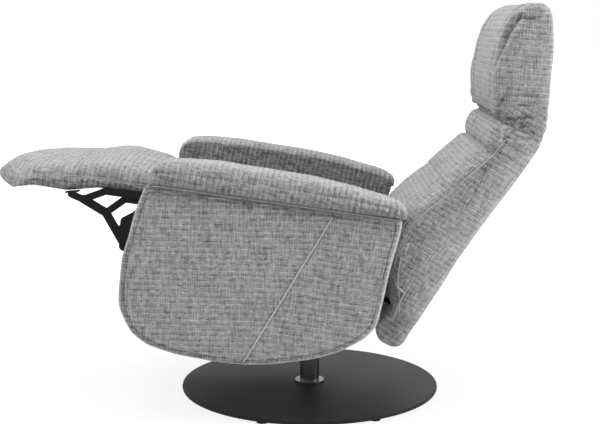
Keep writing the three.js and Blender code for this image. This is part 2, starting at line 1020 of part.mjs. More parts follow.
const addFootrest = () => {
  const line = [footBoardRear, footBoardRampTop, footBoardRampFoot, footBoardFront];
  const raised = (lift) => line.map(([y, z]) => [y, z + lift]);
  const boardShape = flatShape([...line, ...raised(footBoardThickness).reverse()]);
  add(shell, "footrest_board", sidePlate(boardShape, -footHalf, 2 * footHalf), finishes.wood);

  const length = footRear - footTip;
  const nose = placed(footNoseShares, footTip, footBase, length, footRise);
  const cushion = pillow({
    top: smooth(placed(footTopShares, footTip, footBase, length, footRise), curveSteps),
    bottom: [...raised(footBoardThickness + fit), ...nose],
    flat: true,
    half: footHalf,
    edge: footEdge,
    crown: footCrown,
    bow: footBow,
    bowShare: footBowShare,
    low: footLow,
  });
  add(shell, "footrest_cushion", cushion, finishes.cloth);

  for (const [name, side] of sides) {
    const flangeSpan = middleLayer + linkThickness - (footHalf - bracketFlange);
    const flanges = [bracketPivot[0], bracketToe[0]].map((y) => {
      const [from, to] = [y - bracketFlangeLength / 2, y + bracketFlangeLength / 2];
      const shape = flatShape([
        [from, boardLineAt(from) - fit],
        [from, boardLineAt(from) - fit - bracketFlangeThickness],
        [to, boardLineAt(to) - fit - bracketFlangeThickness],
        [to, boardLineAt(to) - fit],
      ]);
      return sidePlate(shape, spanStart(side, footHalf - bracketFlange, flangeSpan), flangeSpan);
    });
    const webs = link(
      side,
      middleLayer,
      [
        [
          [bracketPivot, linkHalf],
          [footJoint, linkHalf],
        ],
        [
          [footJoint, linkHalf],
          [bracketToe, linkHalf],
        ],
      ],
      [
        [bracketPivot, outerLayer + linkThickness],
        [footJoint, innerLayer],
      ],
      [],
    );
    add(shell, `footrest_bracket_${name}`, worked([webs, ...flanges], []), finishes.blackSteel);
  }
};

// Back: pivot brackets on the boards, frame, shell, roll, cushion and neck roll

const toBack = ([y, z]) => {
  const [dy, dz] = [y - backFoot[0], z - backFoot[1]];
  return [
    dy * Math.cos(backLean) - dz * Math.sin(backLean),
    dy * Math.sin(backLean) + dz * Math.cos(backLean),
  ];
};

const pivotPlate = boardInside - fit - pivotPlateThickness;
const pivotTubeHalf = pivotPlate - pivotTubeGap;

const addPivotBrackets = () => {
  const root = [rearTubeY, frameHeight];
  const rootRadius = Math.hypot(frameTube, frameTube) / 2 + fit + pivotRootWall;
  for (const [name, side] of sides) {
    const plateShape = tightShape([
      [root, rootRadius],
      [reclinePivot, pivotPlateHalf],
    ]);
    const plate = sidePlate(plateShape, spanStart(side, pivotPlate, pivotPlateThickness), pivotPlateThickness);
    const pinEnd = pivotTubeHalf - pivotPinLength;
    const pin = rodAcross(reclinePivot, pivotPinRadius, side * (pivotPlate + overrun), side * pinEnd);
    const tubeHole = box(0, rearTubeY, frameHeight, 4 * boardInside, frameTube + 2 * fit, frameTube + 2 * fit);
    add(shell, `recline_bracket_${name}`, worked([plate, pin], [tubeHole]), finishes.blackSteel);
  }
};

const strapHeight = toBack(reclinePivot)[1];

const addBackFrame = () => {
  const pivot = toBack(reclinePivot);
  const pivotTube = rodAcross(pivot, pivotTubeRadius, -pivotTubeHalf, pivotTubeHalf);
  const uprights = sides.map(([, side]) =>
    rodUp(side * uprightSpread, -uprightDepth, uprightRadius, strapHeight - strapThickness / 2, uprightTop),
  );
  const straps = sides.map(([, side]) => {
    const [from, to] = [pivot[0], -uprightDepth];
    return box(side * uprightSpread, (from + to) / 2, strapHeight, strapWidth, to - from, strapThickness);
  });
  const cross = rodAcross([-uprightDepth, crossTubeHeight], uprightRadius, -uprightSpread, uprightSpread);
  const leverEnd = toBack([reclinePivot[0], springHeight]);
  const lever = sidePlate(barShape(pivot, leverEnd, leverHalf), springEyeThickness / 2 + fit, leverThickness);
  const leverPin = rodAcross(leverEnd, leverPinRadius, -springEyeThickness, springEyeThickness);
  const bores = sides.map(([, side]) =>
    rodAcross(
      pivot,
      pivotPinRadius + turningFit,
      side * (pivotTubeHalf - pivotPinLength - overrun),
      side * (pivotTubeHalf + overrun),
    ),
  );
  add(
    back,
    "back_frame",
    worked([pivotTube, ...uprights, ...straps, cross, lever, leverPin], bores),
    finishes.blackSteel,
  );
};

const addBackPads = () => {
  const rollTop = strapHeight - strapThickness / 2 - fit;
  const rollOutline = smooth(
    rollShares.map(([s, t]) => [-t * rollDepth, rollBottom + s * (rollTop - rollBottom)]),
    curveSteps,
  );
  const roll = pillow({ top: rollOutline, bottom: [], half: rollHalf, edge: rollEdge });
  add(back, "back_roll", roll, finishes.cloth);

  const padFoot = strapHeight + strapThickness / 2 + fit;
  const shellThickness = uprightDepth - uprightRadius - fit;
  const shellOutline = [
    ...shellRearShares.map(([s, t]) => [t * shellBulge, padFoot + s * (shellTop - padFoot)]),
    [-shellThickness, shellTop],
    [-shellThickness, padFoot],
  ];
  const shellPad = pillow({ top: shellOutline, bottom: [], half: backHalf, edge: shellEdge });
  add(back, "back_shell", shellPad, finishes.cloth);

  const rear = -(uprightDepth + uprightRadius + fit);
  const steps = 10;
  const rings = cushionRowShares.map(([rise, width, sideShare, middleShare]) => {
    const height = padFoot + rise * (cushionTop - padFoot);
    const half = width * backHalf;
    const [sideDepth, middleDepth] = [sideShare * cushionDepth, middleShare * cushionDepth];
    const ring = [new THREE.Vector3(half, rear, height), new THREE.Vector3(-half, rear, height)];
    for (let k = 0; k <= steps; k += 1) {
      const turn = (k / steps) * Math.PI;
      const depth = sideDepth + (middleDepth - sideDepth) * Math.sin(turn) ** 2;
      ring.push(new THREE.Vector3(-half * Math.cos(turn), -depth, height));
    }
    return ring;
  });
  add(back, "back_cushion", skin(rings), finishes.cloth);

  const neckOutline = neckShares.map(([s, t]) => [-t * neckDepth, neckBottom + s * (neckTop - neckBottom)]);
  const neck = pillow({ top: neckOutline, bottom: [], half: backHalf, edge: neckEdge });
  add(back, "neck_roll", neck, finishes.cloth);
};

// Gas spring: cylinder on the seat frame, rod that slides in it

const addGasSpring = () => {
  const cylinderRear = springFront + springLength;
  const bore = springRodRadius + turningFit;
  const rodFront = springFront + springLength / 2;
  const cylinder = worked(
    [
      rodAlong(0, springHeight, springRadius, springFront, cylinderRear),
      box(
        0,
        springFront + springLugHalf,
        (springHeight + frameBottom - fit) / 2,
        springLugHalf,
        2 * springLugHalf,
        frameBottom - fit - springHeight,
      ),
    ],
    [rodAlong(0, springHeight, bore, rodFront - springTravel, cylinderRear + overrun)],
  );
  add(shell, "gas_spring_cylinder", cylinder, finishes.blackSteel);
  const eye = [reclinePivot[0], springHeight];
  const rod = worked(
    [
      rodAlong(0, springHeight, springRodRadius, rodFront, eye[0] - springEyeBore - overrun),
      sidePlate(barShape(eye, eye, springEyeRadius), -springEyeThickness / 2, springEyeThickness),
    ],
    [rodAcross(eye, springEyeBore, -boardInside, boardInside)],
  );
  add(shell, "gas_spring_rod", rod, finishes.chrome);
};

// Head: hinge fittings, plate, middle cushion and two wings

const addHead = () => {
  const knuckleGap = fit;
  for (const [name, side] of sides) {
    const from = uprightSpread - hingeLength / 2;
    const to = uprightSpread + hingeLength / 2;
    const neckFrom = uprightTop + fit;
    const pinEnd = from - hingeLength + fit;
    const fitting = worked(
      [
        rodAcross(headHinge, hingeRadius, side * from, side * to),
        rodAcross(headHinge, hingePinRadius, side * pinEnd, side * to),
        box(
          side * uprightSpread,
          -uprightDepth + uprightRadius - hingeNeck,
          (neckFrom + headHinge[1]) / 2,
          hingeLength,
          2 * hingeNeck,
          headHinge[1] - neckFrom,
        ),
      ],
      [],
    );
    add(back, `head_ratchet_${name}`, fitting, finishes.steel);
  }
  const knuckles = sides.map(([, side]) =>
    rodAcross(
      [0, 0],
      hingeRadius,
      side * (uprightSpread - 1.5 * hingeLength),
      side * (uprightSpread - hingeLength / 2 - knuckleGap),
    ),
  );
  const plateBox = box(0, 0, headPlateHeight / 2, 2 * headPlateHalf, headPlateThickness, headPlateHeight);
  const feet = sides.map(([, side]) =>
    box(
      side * (uprightSpread - hingeLength),
      0,
      hingeRadius,
      hingeLength - 2 * knuckleGap,
      headPlateThickness,
      2 * hingeRadius,
    ),
  );
  const bores = rodAcross([0, 0], hingePinRadius + fit, -boardInside, boardInside);
  add(head, "head_plate", worked([plateBox, ...knuckles, ...feet], [bores]), finishes.blackSteel);

  const span = headLength - headFoot;
  const headOutline = (shares) =>
    smooth(
      shares.map(([s, t]) => [headBehind - t * headDepth, headFoot + s * span]),
      curveSteps,
    );
  const slot = box(
    0,
    0,
    headPlateHeight / 2,
    2 * (uprightSpread - hingeLength / 2),
    headPlateThickness + 2 * fit,
    headPlateHeight + 2 * fit,
  );
  const middle = pillow({
    top: headOutline(middleFrontShares),
    bottom: [],
    half: headMiddleHalf,
    edge: headMiddleEdge,
    crown: headCrown,
  });
  add(head, "head_cushion", worked([middle], [slot]), finishes.cloth);
  for (const [name, side] of sides) {
    const wing = pillow({
      top: headOutline(wingFrontShares),
      bottom: [],
      centre: side * (headMiddleHalf + fit + wingHalfWidth),
      half: wingHalfWidth,
      edge: wingEdge,
    });
    add(head, `head_wing_${name}`, wing, finishes.cloth);
  }
};

// Push buttons in their bezel, on the inner face of the right arm

const addButtons = () => {
  const armFace = -(armCentre - armWidth / 2);
  const bezelBack = armFace + fit;
  const bezelFront = bezelBack + bezelThickness;
  const [y, z] = buttonCentre;
  const bezelHalf = (bezelLength - bezelHeight) / 2;
  const plateShape = barShape([y - bezelHalf, z], [y + bezelHalf, z], bezelHeight / 2);
  const plate = sidePlate(plateShape, bezelBack, bezelThickness);
  const places = [y - buttonSpacing / 2, y + buttonSpacing / 2];
  const wells = places.map((place) =>
    rodAcross([place, z], buttonRadius + fit, bezelBack + bezelFloor, bezelFront + overrun),
  );
  add(shell, "button_bezel", worked([plate], wells), finishes.chrome);
  places.forEach((place, k) => {
    const foot = bezelBack + bezelFloor + buttonTravel;
    const button = rodAcross([place, z], buttonRadius, foot, foot + buttonHeight);
    add(shell, `push_button_${k + 1}`, button, finishes.steel);
  });
};

addSwivel(addBase());
addFrame();
addSeatCushion();
addSides();
addLinks();
addFootrest();
addPivotBrackets();
addBackFrame();
addBackPads();
addGasSpring();
addHead();
addButtons();

export default chair;
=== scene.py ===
import json
import math
from functools import partial

import bmesh
import bpy
import numpy as np
from mathutils import Matrix, Vector


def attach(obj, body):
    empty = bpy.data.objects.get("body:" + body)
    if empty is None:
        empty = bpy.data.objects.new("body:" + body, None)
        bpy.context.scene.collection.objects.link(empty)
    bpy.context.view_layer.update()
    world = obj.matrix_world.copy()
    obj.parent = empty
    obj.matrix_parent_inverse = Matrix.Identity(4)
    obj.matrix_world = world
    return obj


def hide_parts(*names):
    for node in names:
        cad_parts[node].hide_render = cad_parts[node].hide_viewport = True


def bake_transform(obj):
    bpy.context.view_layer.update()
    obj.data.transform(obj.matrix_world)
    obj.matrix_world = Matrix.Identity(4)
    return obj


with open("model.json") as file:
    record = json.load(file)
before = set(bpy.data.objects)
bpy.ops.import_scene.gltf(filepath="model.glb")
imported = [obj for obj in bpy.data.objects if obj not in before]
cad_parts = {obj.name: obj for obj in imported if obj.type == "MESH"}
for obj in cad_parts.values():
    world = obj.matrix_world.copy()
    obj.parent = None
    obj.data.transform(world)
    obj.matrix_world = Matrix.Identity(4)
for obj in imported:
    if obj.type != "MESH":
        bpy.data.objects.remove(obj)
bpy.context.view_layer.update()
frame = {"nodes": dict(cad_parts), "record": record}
nodes = frame["nodes"]
print("frame loaded:", len(nodes), "nodes")


def placed(name, data):
    # A new object that shows the data
    thing = bpy.data.objects.new(name, data)
    bpy.context.collection.objects.link(thing)
    return thing


# Camera

photoCamera = {
    "place": (3.20207, 0.0502, 0.9879),
    "yaw": 0.02395, "pitch": 0.155097, "lens": 71.96,
}


def addCamera(v):
    # Ahead is (-cos yaw cos pitch, -sin yaw cos pitch, -sin pitch), right lies level across it, and up is
    # their cross product
    yaw, pitch = v["yaw"], v["pitch"]
    level = math.cos(pitch)
    ahead = np.array([-math.cos(yaw) * level, -math.sin(yaw) * level, -math.sin(pitch)])
    right = np.array([-math.sin(yaw), math.cos(yaw), 0.0])
    turn = Matrix(np.column_stack([right, np.cross(right, ahead), -ahead]).tolist()).to_4x4()
    data = bpy.data.cameras.new("photoCamera")
    data.lens = v["lens"]
    camera = placed("photoCamera", data)
    camera.matrix_world = Matrix.Translation(v["place"]) @ turn
    bpy.context.scene.camera = camera


addCamera(photoCamera)

# Frames of the tilted parts

lay = {
    "tiltPivot": np.array([0, 0.03, 0.25]),
    "restTilt": math.radians(12),
    "backFoot": np.array([0, 0.259, 0.258]),
    "backLean": math.radians(19.1),
    "headHinge": np.array([0, -0.04, 0.6]),
    "headLean": math.radians(27),
}
shellTurn = lay["restTilt"]
backTurn = shellTurn + lay["backLean"]
headTurn = backTurn - lay["headLean"]


def turned(points, angle):
    # Points turned about X: (y cos - z sin, y sin + z cos)
    x, y, z = np.moveaxis(np.asarray(points, float), -1, 0)
    c, s = math.cos(angle), math.sin(angle)
    return np.stack([x, y * c - z * s, y * s + z * c], axis=-1)


def inShell(points, back=-1):
    # Upright shell to the frame's place, turned back about the tilt pivot; or the other way with back=1
    return turned(np.asarray(points, float) - lay["tiltPivot"], back * shellTurn) + lay["tiltPivot"]


def inBack(points):
    # Back's own frame, Z along it and -Y its front, to the frame's place
    return inShell(turned(points, -lay["backLean"]) + lay["backFoot"])


def onHinge(points):
    # Head's own frame to the back's
    return turned(points, lay["headLean"]) + lay["headHinge"]


bodyFrames = {
    "seat_shell": inShell,
    "footrest": inShell,
    "backrest": inBack,
    "headrest": lambda points: inBack(onHinge(points)),
}


# Node helpers


def feed(tree, socket, value):
    # An output is linked to the socket; a number, vector or colour is set on it
    if isinstance(value, bpy.types.NodeSocket):
        tree.links.new(value, socket)
    else:
        socket.default_value = (*value, 1) if socket.type == "RGBA" else value


def newNode(tree, kind, inputs=None, **settings):
    # One node with its settings, then what goes into its inputs by name or number
    node = tree.nodes.new("ShaderNode" + kind)
    for label, value in settings.items():
        setattr(node, label, value)
    for label, value in (inputs or {}).items():
        feed(tree, node.inputs[label], value)
    return node


def nodeMath(tree, operation, *values):
    # One Math node on the values
    return newNode(tree, "Math", dict(enumerate(values)), operation=operation).outputs[0]


def nodeSums(tree):
    # Add, subtract, multiply and divide as short calls
    return [partial(nodeMath, tree, word) for word in ("ADD", "SUBTRACT", "MULTIPLY", "DIVIDE")]


def nodeMix(tree, factor, dark, light):
    # Dark to light colour by the factor: sockets 6, 7 and output 2 are the Mix node's colours
    return newNode(tree, "Mix", {0: factor, 6: dark, 7: light}, data_type="RGBA").outputs[2]


def nodeRandom(tree, a, b=None):
    # White noise of one number, or of a pair of them
    kind, given = "1D", {"W": a}
    if b is not None:
        kind, given = "2D", {"Vector": newNode(tree, "CombineXYZ", {0: a, 1: b}).outputs[0]}
    return newNode(tree, "TexWhiteNoise", given, noise_dimensions=kind).outputs["Value"]


def nodeNoise(tree, vector, scale, detail):
    # Smooth noise, 0 to 1
    return newNode(tree, "TexNoise", {"Vector": vector, "Scale": scale, "Detail": detail}).outputs["Fac"]


def nodeTent(tree, value, middle, reach):
    # 1 at the middle, falling straight to 0 at the reach: 1 - |value - middle| / reach, never below 0
    gap = nodeMath(tree, "ABSOLUTE", nodeMath(tree, "SUBTRACT", value, middle))
    left = nodeMath(tree, "SUBTRACT", 1.0, nodeMath(tree, "DIVIDE", gap, reach))
    return nodeMath(tree, "MAXIMUM", left, 0.0)


def newGroup(name, inputs, outputs):
    # An empty group: inputs by name and kind, and outputs that are numbers
    tree = bpy.data.node_groups.new(name, "ShaderNodeTree")
    for label, kind in inputs.items():
        tree.interface.new_socket(name=label, in_out="INPUT", socket_type="NodeSocket" + kind)
    for label in outputs:
        tree.interface.new_socket(name=label, in_out="OUTPUT", socket_type="NodeSocketFloat")
    return tree, tree.nodes.new("NodeGroupInput").outputs, tree.nodes.new("NodeGroupOutput").inputs


weave = {
    # lengths of dashes and yarns, width and streak length of the upright threads
    "dash": 0.0125, "yarn": 0.0085, "thread": 0.0023, "streak": 0.024,
    # how far a random row, fine row or thread shifts its dashes, in dash lengths
    "shifts": (9.7, 7.3, 5.3),
    "fineRows": 4.0,
    # in each row: middle and reach
    "ribPlace": (0.3, 0.22),
    "groovePlace": (0.66, 0.24),
    "ribLeast": 0.1, "contrast": 1.5, "rib": 0.34, "groove": 0.32, "yarnTone": 0.3,
    "threadTone": 0.34, "yarnHeight": 0.3, "threadHeight": 0.16, "facingPower": 6.0,
    # slow change of tone, then specks: scale, detail, strength
    "mottles": [(9.0, 2.0, 0.14), (420.0, 1.0, 0.35)],
}


def makeSlubPlane(v):
    # Rows across V: in each a light rib beside a dark groove, both broken into dashes, with finer yarns
    # between them and upright threads across. A dash's number is floor(place / length + its row's shift)
    tree, given, out = newGroup("slubPlane", dict.fromkeys(("U", "V", "Pitch"), "Float"), ("Shade", "Height"))
    add, take, times, over = nodeSums(tree)
    whole = partial(nodeMath, tree, "FLOOR")

    def cell(place, length, row, shift):
        return whole(add(over(place, length), times(nodeRandom(tree, row), shift)))

    across = over(given["V"], given["Pitch"])
    within = nodeMath(tree, "FRACT", across)
    row = whole(across)
    fineRow = whole(times(across, v["fineRows"]))
    column = whole(over(given["U"], v["thread"]))
    dash = nodeRandom(tree, cell(given["U"], v["dash"], row, v["shifts"][0]), row)
    yarn = nodeRandom(tree, cell(given["U"], v["yarn"], fineRow, v["shifts"][1]), fineRow)
    streak = nodeRandom(tree, column, cell(given["V"], v["streak"], column, v["shifts"][2]))
    bright = add(nodeMath(tree, "POWER", dash, v["contrast"]), v["ribLeast"])
    light = times(nodeTent(tree, within, *v["ribPlace"]), bright)
    blank = nodeMath(tree, "POWER", take(1.0, dash), v["contrast"])
    dark = times(nodeTent(tree, within, *v["groovePlace"]), blank)
    shade = take(times(light, v["rib"]), times(dark, v["groove"]))
    shade = add(add(shade, times(yarn, v["yarnTone"])), times(streak, v["threadTone"]))
    tree.links.new(add(shade, 0.5 - (v["yarnTone"] + v["threadTone"]) / 2), out["Shade"])
    height = nodeMath(tree, "MULTIPLY_ADD", yarn, v["yarnHeight"], light)
    tree.links.new(add(height, times(streak, v["threadHeight"])), out["Height"])
    return tree


def makeSlubCloth(plane, v):
    # The rows laid on three planes, each weighed by a high power of how far the surface faces it, with
    # mottles on top
    kinds = {"Vector": "Vector", "Facing": "Vector", "Pitch": "Float"}
    tree, given, out = newGroup("slubCloth", kinds, ("Shade", "Height"))
    add, take, times, over = nodeSums(tree)
    x, y, z = newNode(tree, "SeparateXYZ", {0: given["Vector"]}).outputs
    facing = newNode(tree, "SeparateXYZ", {0: given["Facing"]}).outputs
    weights = [nodeMath(tree, "POWER", nodeMath(tree, "ABSOLUTE", way), v["facingPower"]) for way in facing]
    total = add(add(weights[0], weights[1]), weights[2])
    laid = {"Shade": 0.0, "Height": 0.0}
    for weight, (across, up) in zip(weights, ((y, z), (x, z), (x, y))):
        node = newNode(tree, "Group", {"U": across, "V": up, "Pitch": given["Pitch"]}, node_tree=plane)
        share = over(weight, total)
        laid = {name: add(laid[name], times(node.outputs[name], share)) for name in laid}
    shade = laid["Shade"]
    for scale, detail, strength in v["mottles"]:
        shade = add(shade, times(take(nodeNoise(tree, given["Vector"], scale, detail), 0.5), strength))
    tree.links.new(shade, out["Shade"])
    tree.links.new(laid["Height"], out["Height"])
    return tree


def makeGrain():
    # Fine grain and slow mottle for painted, moulded and metal faces: two noises, each at its own scale
    kinds = {"Vector": "Vector", "Fine": "Float", "Slow": "Float"}
    tree, given, out = newGroup("grain", kinds, ("Grain", "Mottle"))
    for name, scale, detail in (("Grain", "Fine", 2.0), ("Mottle", "Slow", 3.0)):
        tree.links.new(nodeNoise(tree, given["Vector"], given[scale], detail), out[name])
    return tree


slubCloth = makeSlubCloth(makeSlubPlane(weave), weave)
grain = makeGrain()

# Materials


def newMaterial(name, values):
    # A material with these values on its shader's own sockets, and the texture coordinates to work from
    material = bpy.data.materials.new(name)
    material.use_nodes = True
    tree = material.node_tree
    inputs = tree.nodes["Principled BSDF"].inputs
    for label, value in values.items():
        inputs[label].default_value = value
    return material, tree, inputs, newNode(tree, "TexCoord").outputs


def addBump(tree, inputs, height, strength, distance):
    # The height turned to a normal
    bump = newNode(tree, "Bump", {"Strength": strength, "Distance": distance, "Height": height})
    tree.links.new(bump.outputs["Normal"], inputs["Normal"])


cloth = {
    "dark": (0.105, 0.104, 0.103),
    "light": (0.6, 0.595, 0.588),
    "pitch": 0.0138, "bump": 0.6, "depth": 0.002,
    "shader": {"Roughness": 0.92, "Specular IOR Level": 0.2, "Sheen Weight": 0.18, "Sheen Roughness": 0.5},
}


def clothMaterial(name, turn, bright=1.0, pitch=1.0):
    # Rows stacked along the piece's own Z, which the turn about X gives. The colour goes from dark to light
    # by the weave's shade plus the mesh's tone, which is painted shade in its folds and grooves and painted
    # highlight on its rims
    material, tree, inputs, spot = newMaterial(name, cloth["shader"])
    given = {"Pitch": cloth["pitch"] * pitch}
    for output, kind, socket in (("Object", "POINT", "Vector"), ("Normal", "VECTOR", "Facing")):
        fed = {"Vector": spot[output], "Rotation": (turn, 0, 0)}
        given[socket] = newNode(tree, "Mapping", fed, vector_type=kind).outputs[0]
    rows = newNode(tree, "Group", given, node_tree=slubCloth).outputs
    tone = newNode(tree, "Attribute", attribute_name="tone").outputs["Fac"]
    low, high = (tuple(value * bright for value in cloth[end]) for end in ("dark", "light"))
    shade = nodeMath(tree, "ADD", rows["Shade"], tone)
    tree.links.new(nodeMix(tree, shade, low, high), inputs["Base Color"])
    addBump(tree, inputs, rows["Height"], cloth["bump"], cloth["depth"])
    return material


hardFinishes = {
    # dark colour, light colour, metallic, low and high roughness, fine scale, slow scale, bump, bump depth
    "platePaint": ((0.014, 0.0145, 0.0155), (0.022, 0.023, 0.0245), 0.0, 0.46, 0.6, 900, 6, 0.3, 0.0003),
    "columnMetal": ((0.1, 0.1, 0.105), (0.17, 0.17, 0.175), 0.95, 0.2, 0.32, 500, 20, 0.1, 0.0002),
    "blackPaint": ((0.008, 0.008, 0.009), (0.015, 0.015, 0.016), 0.0, 0.42, 0.58, 700, 14, 0.3, 0.0003),
    "turnedSteel": ((0.13, 0.13, 0.135), (0.22, 0.22, 0.225), 1.0, 0.22, 0.38, 600, 25, 0.15, 0.0002),
    "polishedChrome": ((0.62, 0.63, 0.65), (0.74, 0.75, 0.77), 1.0, 0.05, 0.12, 300, 15, 0.05, 0.0001),
    "blackNylon": ((0.016, 0.016, 0.017), (0.028, 0.028, 0.029), 0.0, 0.5, 0.68, 1200, 30, 0.4, 0.0003),
}
paintShine = 0.12  # specular level of paint and nylon; metal keeps 0.5


def hardMaterial(name, dark, light, metallic, smooth, rough, fine, slow, bump, depth):
    # Mottle takes the colour from dark to light and the roughness from low to high, and grain is the bump
    shine = 0.5 if metallic > 0.5 else paintShine
    material, tree, inputs, spot = newMaterial(name, {"Metallic": metallic, "Specular IOR Level": shine})
    given = {"Fine": fine, "Slow": slow, "Vector": spot["Object"]}
    face = newNode(tree, "Group", given, node_tree=grain).outputs
    tree.links.new(nodeMix(tree, face["Mottle"], dark, light), inputs["Base Color"])
    spread = nodeMath(tree, "MULTIPLY_ADD", face["Mottle"], rough - smooth, smooth)
    tree.links.new(spread, inputs["Roughness"])
    addBump(tree, inputs, face["Grain"], bump, depth)
    return material


plywood = {
    "stretch": (60, 3, 60),
    "bandDetail": 4.0, "poreScale": 900.0,
    "dark": (0.33, 0.2, 0.105),
    "light": (0.6, 0.42, 0.25),
    "rough": (0.2, 0.5),
    "bump": 0.2, "depth": 0.0006,
}


def woodMaterial(v):
    # Bands of veneer colour stretched along Y, and pores that roughen it
    material, tree, inputs, spot = newMaterial("plywoodVeneer", {})
    mapping = newNode(tree, "Mapping", {"Vector": spot["Object"], "Scale": v["stretch"]})
    bands = nodeNoise(tree, mapping.outputs[0], 1.0, v["bandDetail"])
    pores = nodeNoise(tree, spot["Object"], v["poreScale"], 1.0)
    tree.links.new(nodeMix(tree, bands, v["dark"], v["light"]), inputs["Base Color"])
    tree.links.new(nodeMath(tree, "MULTIPLY_ADD", pores, *v["rough"]), inputs["Roughness"])
    addBump(tree, inputs, bands, v["bump"], v["depth"])
    return material


clothFinishes = {
    # turn about X, share of the colours, share of the row pitch
    "panelFrontCloth": (math.radians(1),),
    "panelRearCloth": (shellTurn - math.radians(4),),
    "armCloth": (shellTurn + math.pi / 2,),
    "seatCloth": (shellTurn + math.pi / 2,),
    "footCloth": (shellTurn + math.pi / 2,),
    "backCloth": (backTurn,),
    "headCloth": (headTurn,),
    # seamCloth has the cloth at 1.15 times its colours, a painted highlight on every piping cord
    "seamCloth": (shellTurn, 1.15, 0.25),
    "backPadCloth": (backTurn, 1.0, 0.9),
    # foldCloth has the cloth at 0.9 of its colours, painted shade on the neck sleeve between back and head
    "foldCloth": (backTurn, 0.9),
}

finishes = {name: hardMaterial(name, *values) for name, values in hardFinishes.items()}
finishes.update({name: clothMaterial(name, *values) for name, values in clothFinishes.items()})
finishes["plywood"] = woodMaterial(plywood)

slotFinishes = {
    "anthracite_plate": "platePaint",
    "column_metal": "columnMetal",
    "black_steel": "blackPaint",
    "bright_steel": "turnedSteel",
    "chrome": "polishedChrome",
    "plywood": "plywood",
    "black_nylon": "blackNylon",
    "cloth": "panelFrontCloth",
}

for row in frame["record"]["subparts"]:
    data = nodes[row["node"]].data
    data.materials.clear()
    data.materials.append(finishes[slotFinishes[row["material_slot"]]])
print("materials made")

# Surfaces

mostInset = 0.97  # of the way to the middle line
stopSpacing = 2.2  # of the widest step along the outline
weldCell = 4e-5  # points in one such cube are one
creaseMargin = 0.04  # share of a crease's length at each end where it fades no further
creaseFade = 0.6  # power of that fading


def evenPath(points, count):
    # An open path through the points, spaced evenly along its length
    points = np.array(points, float)
    run = np.concatenate([[0], np.cumsum(np.linalg.norm(np.diff(points, axis=0), axis=1))])
    spots = np.linspace(0, run[-1], count)
    return np.stack([np.interp(spots, run, points[:, k]) for k in range(points.shape[1])], axis=1)


def evenLoop(points, count, blur):
    # Joined in a loop, spaced evenly, then blurred along the loop by a bell curve that rounds its corners
    path = np.vstack([points, points[:1]])
    spread = blur * count / np.linalg.norm(np.diff(path, axis=0), axis=1).sum()
    kernel = np.exp(-2 * (np.pi * np.fft.fftfreq(count) * spread) ** 2)
    return np.real(np.fft.ifft(np.fft.fft(evenPath(path, count + 1)[:-1], axis=0) * kernel[:, None], axis=0))


def rowed(value, rows, column=1):
    # Read from a table by straight lines between its rows
    rows = np.array(rows)
    return np.interp(value, rows[:, 0], rows[:, column])


def nearestOn(points, path):
    # Distance of each point from a path of straight pieces, and how far along the path it is, from 0 to 1
    path = np.array(path, float)
    start, step = path[:-1], np.diff(path, axis=0)
    length = np.hypot(*step.T)
    offset = points[..., None, :] - start
    share = np.clip((offset * step).sum(-1) / length**2, 0, 1)
    gap = np.linalg.norm(offset - share[..., None] * step, axis=-1)
    best = gap.argmin(-1)
    before = np.concatenate([[0], np.cumsum(length)[:-1]])
    along = before[best] + np.take_along_axis(share, best[..., None], -1)[..., 0] * length[best]
    return gap.min(-1), along / length.sum()


def padGrid(loop, middle, half, edge, bulge, across, bend, cap, crowd=1.0):
    # Rings round the loop's outline from one end to the other: each end is a face that shrinks to the middle
    # line and swells by the bulge, a quarter circle turns its edge, and a straight band joins the two. The
    # middle line has a few stops, where the points from both of its sides meet, so that each end is shut
    shares = (1 - np.arange(cap) / cap) ** crowd
    face = [(half + bulge * (1 - (1 - s) ** 2), edge, s) for s in shares]
    angles = np.linspace(np.pi / 2, 0, bend)
    turn = [(half - edge + edge * math.sin(a), edge * (1 - math.cos(a)), 0.0) for a in angles]
    band = [(x, 0.0, 0.0) for x in np.linspace(half - edge, 0, across // 2 + 1)[1:]]
    side = np.array(face + turn + band)
    rows = np.vstack([side, (side * [-1, 1, 1])[-2::-1]])
    a, b = np.array(middle, float)
    share = np.clip(((loop - a) @ (b - a)) / ((b - a) @ (b - a)), 0, 1)
    core = a + share[:, None] * (b - a)
    reach = np.linalg.norm(loop - core, axis=1)
    factor = (1 - np.minimum(rows[:, 1:2] / reach, mostInset)) * (1 - rows[:, 2:3])
    plane = core + factor[..., None] * (loop - core)
    stride = stopSpacing * np.linalg.norm(loop - np.roll(loop, 1, axis=0), axis=1).max()
    stops = max(int(np.linalg.norm(b - a) / stride), 1)
    plane[[0, -1]] = a + np.round(share * stops)[:, None] / stops * (b - a)
    thick = np.repeat(rows[:, :1], len(loop), axis=1)
    return np.concatenate([thick[..., None], plane], axis=-1)


def padOf(v):
    # The rings of the pad that a dictionary describes
    loop = evenLoop(v["loop"], *v["even"])
    return padGrid(loop, v["middle"], v["half"], v["edge"], v.get("bulge", 0.0), *v["counts"])


def unit(ways):
    # Each direction over its length
    return ways / np.maximum(np.linalg.norm(ways, axis=-1, keepdims=True), 1e-12)


def gridNormals(grid):
    # The cross product of the steps round and along the rings, turned to point outwards. The end rings
    # have one normal each, so that points which meet there stay together
    around = np.roll(grid, -1, axis=1) - np.roll(grid, 1, axis=1)
    normal = unit(np.cross(around, np.gradient(grid, axis=0)))
    normal[[0, -1]] = unit(normal[[0, -1]].mean(1, keepdims=True))
    outward = ((grid - grid.mean((0, 1))) * normal).sum()
    return normal if outward > 0 else -normal


def pushed(grid, rise):
    # Every point moved along its normal
    return grid + gridNormals(grid) * rise[..., None]


def bell(distance, width):
    # exp(-(distance / width)^2)
    return np.exp(-((distance / width) ** 2))


def hump(value, height, place, width):
    # A bell of some height at a place
    return height * bell(value - place, width)


def ramp(value, low, high):
    # 0 below low, 1 above high, an S between: 3 t^2 - 2 t^3
    t = np.clip((value - low) / (high - low), 0, 1)
    return t * t * (3 - 2 * t)


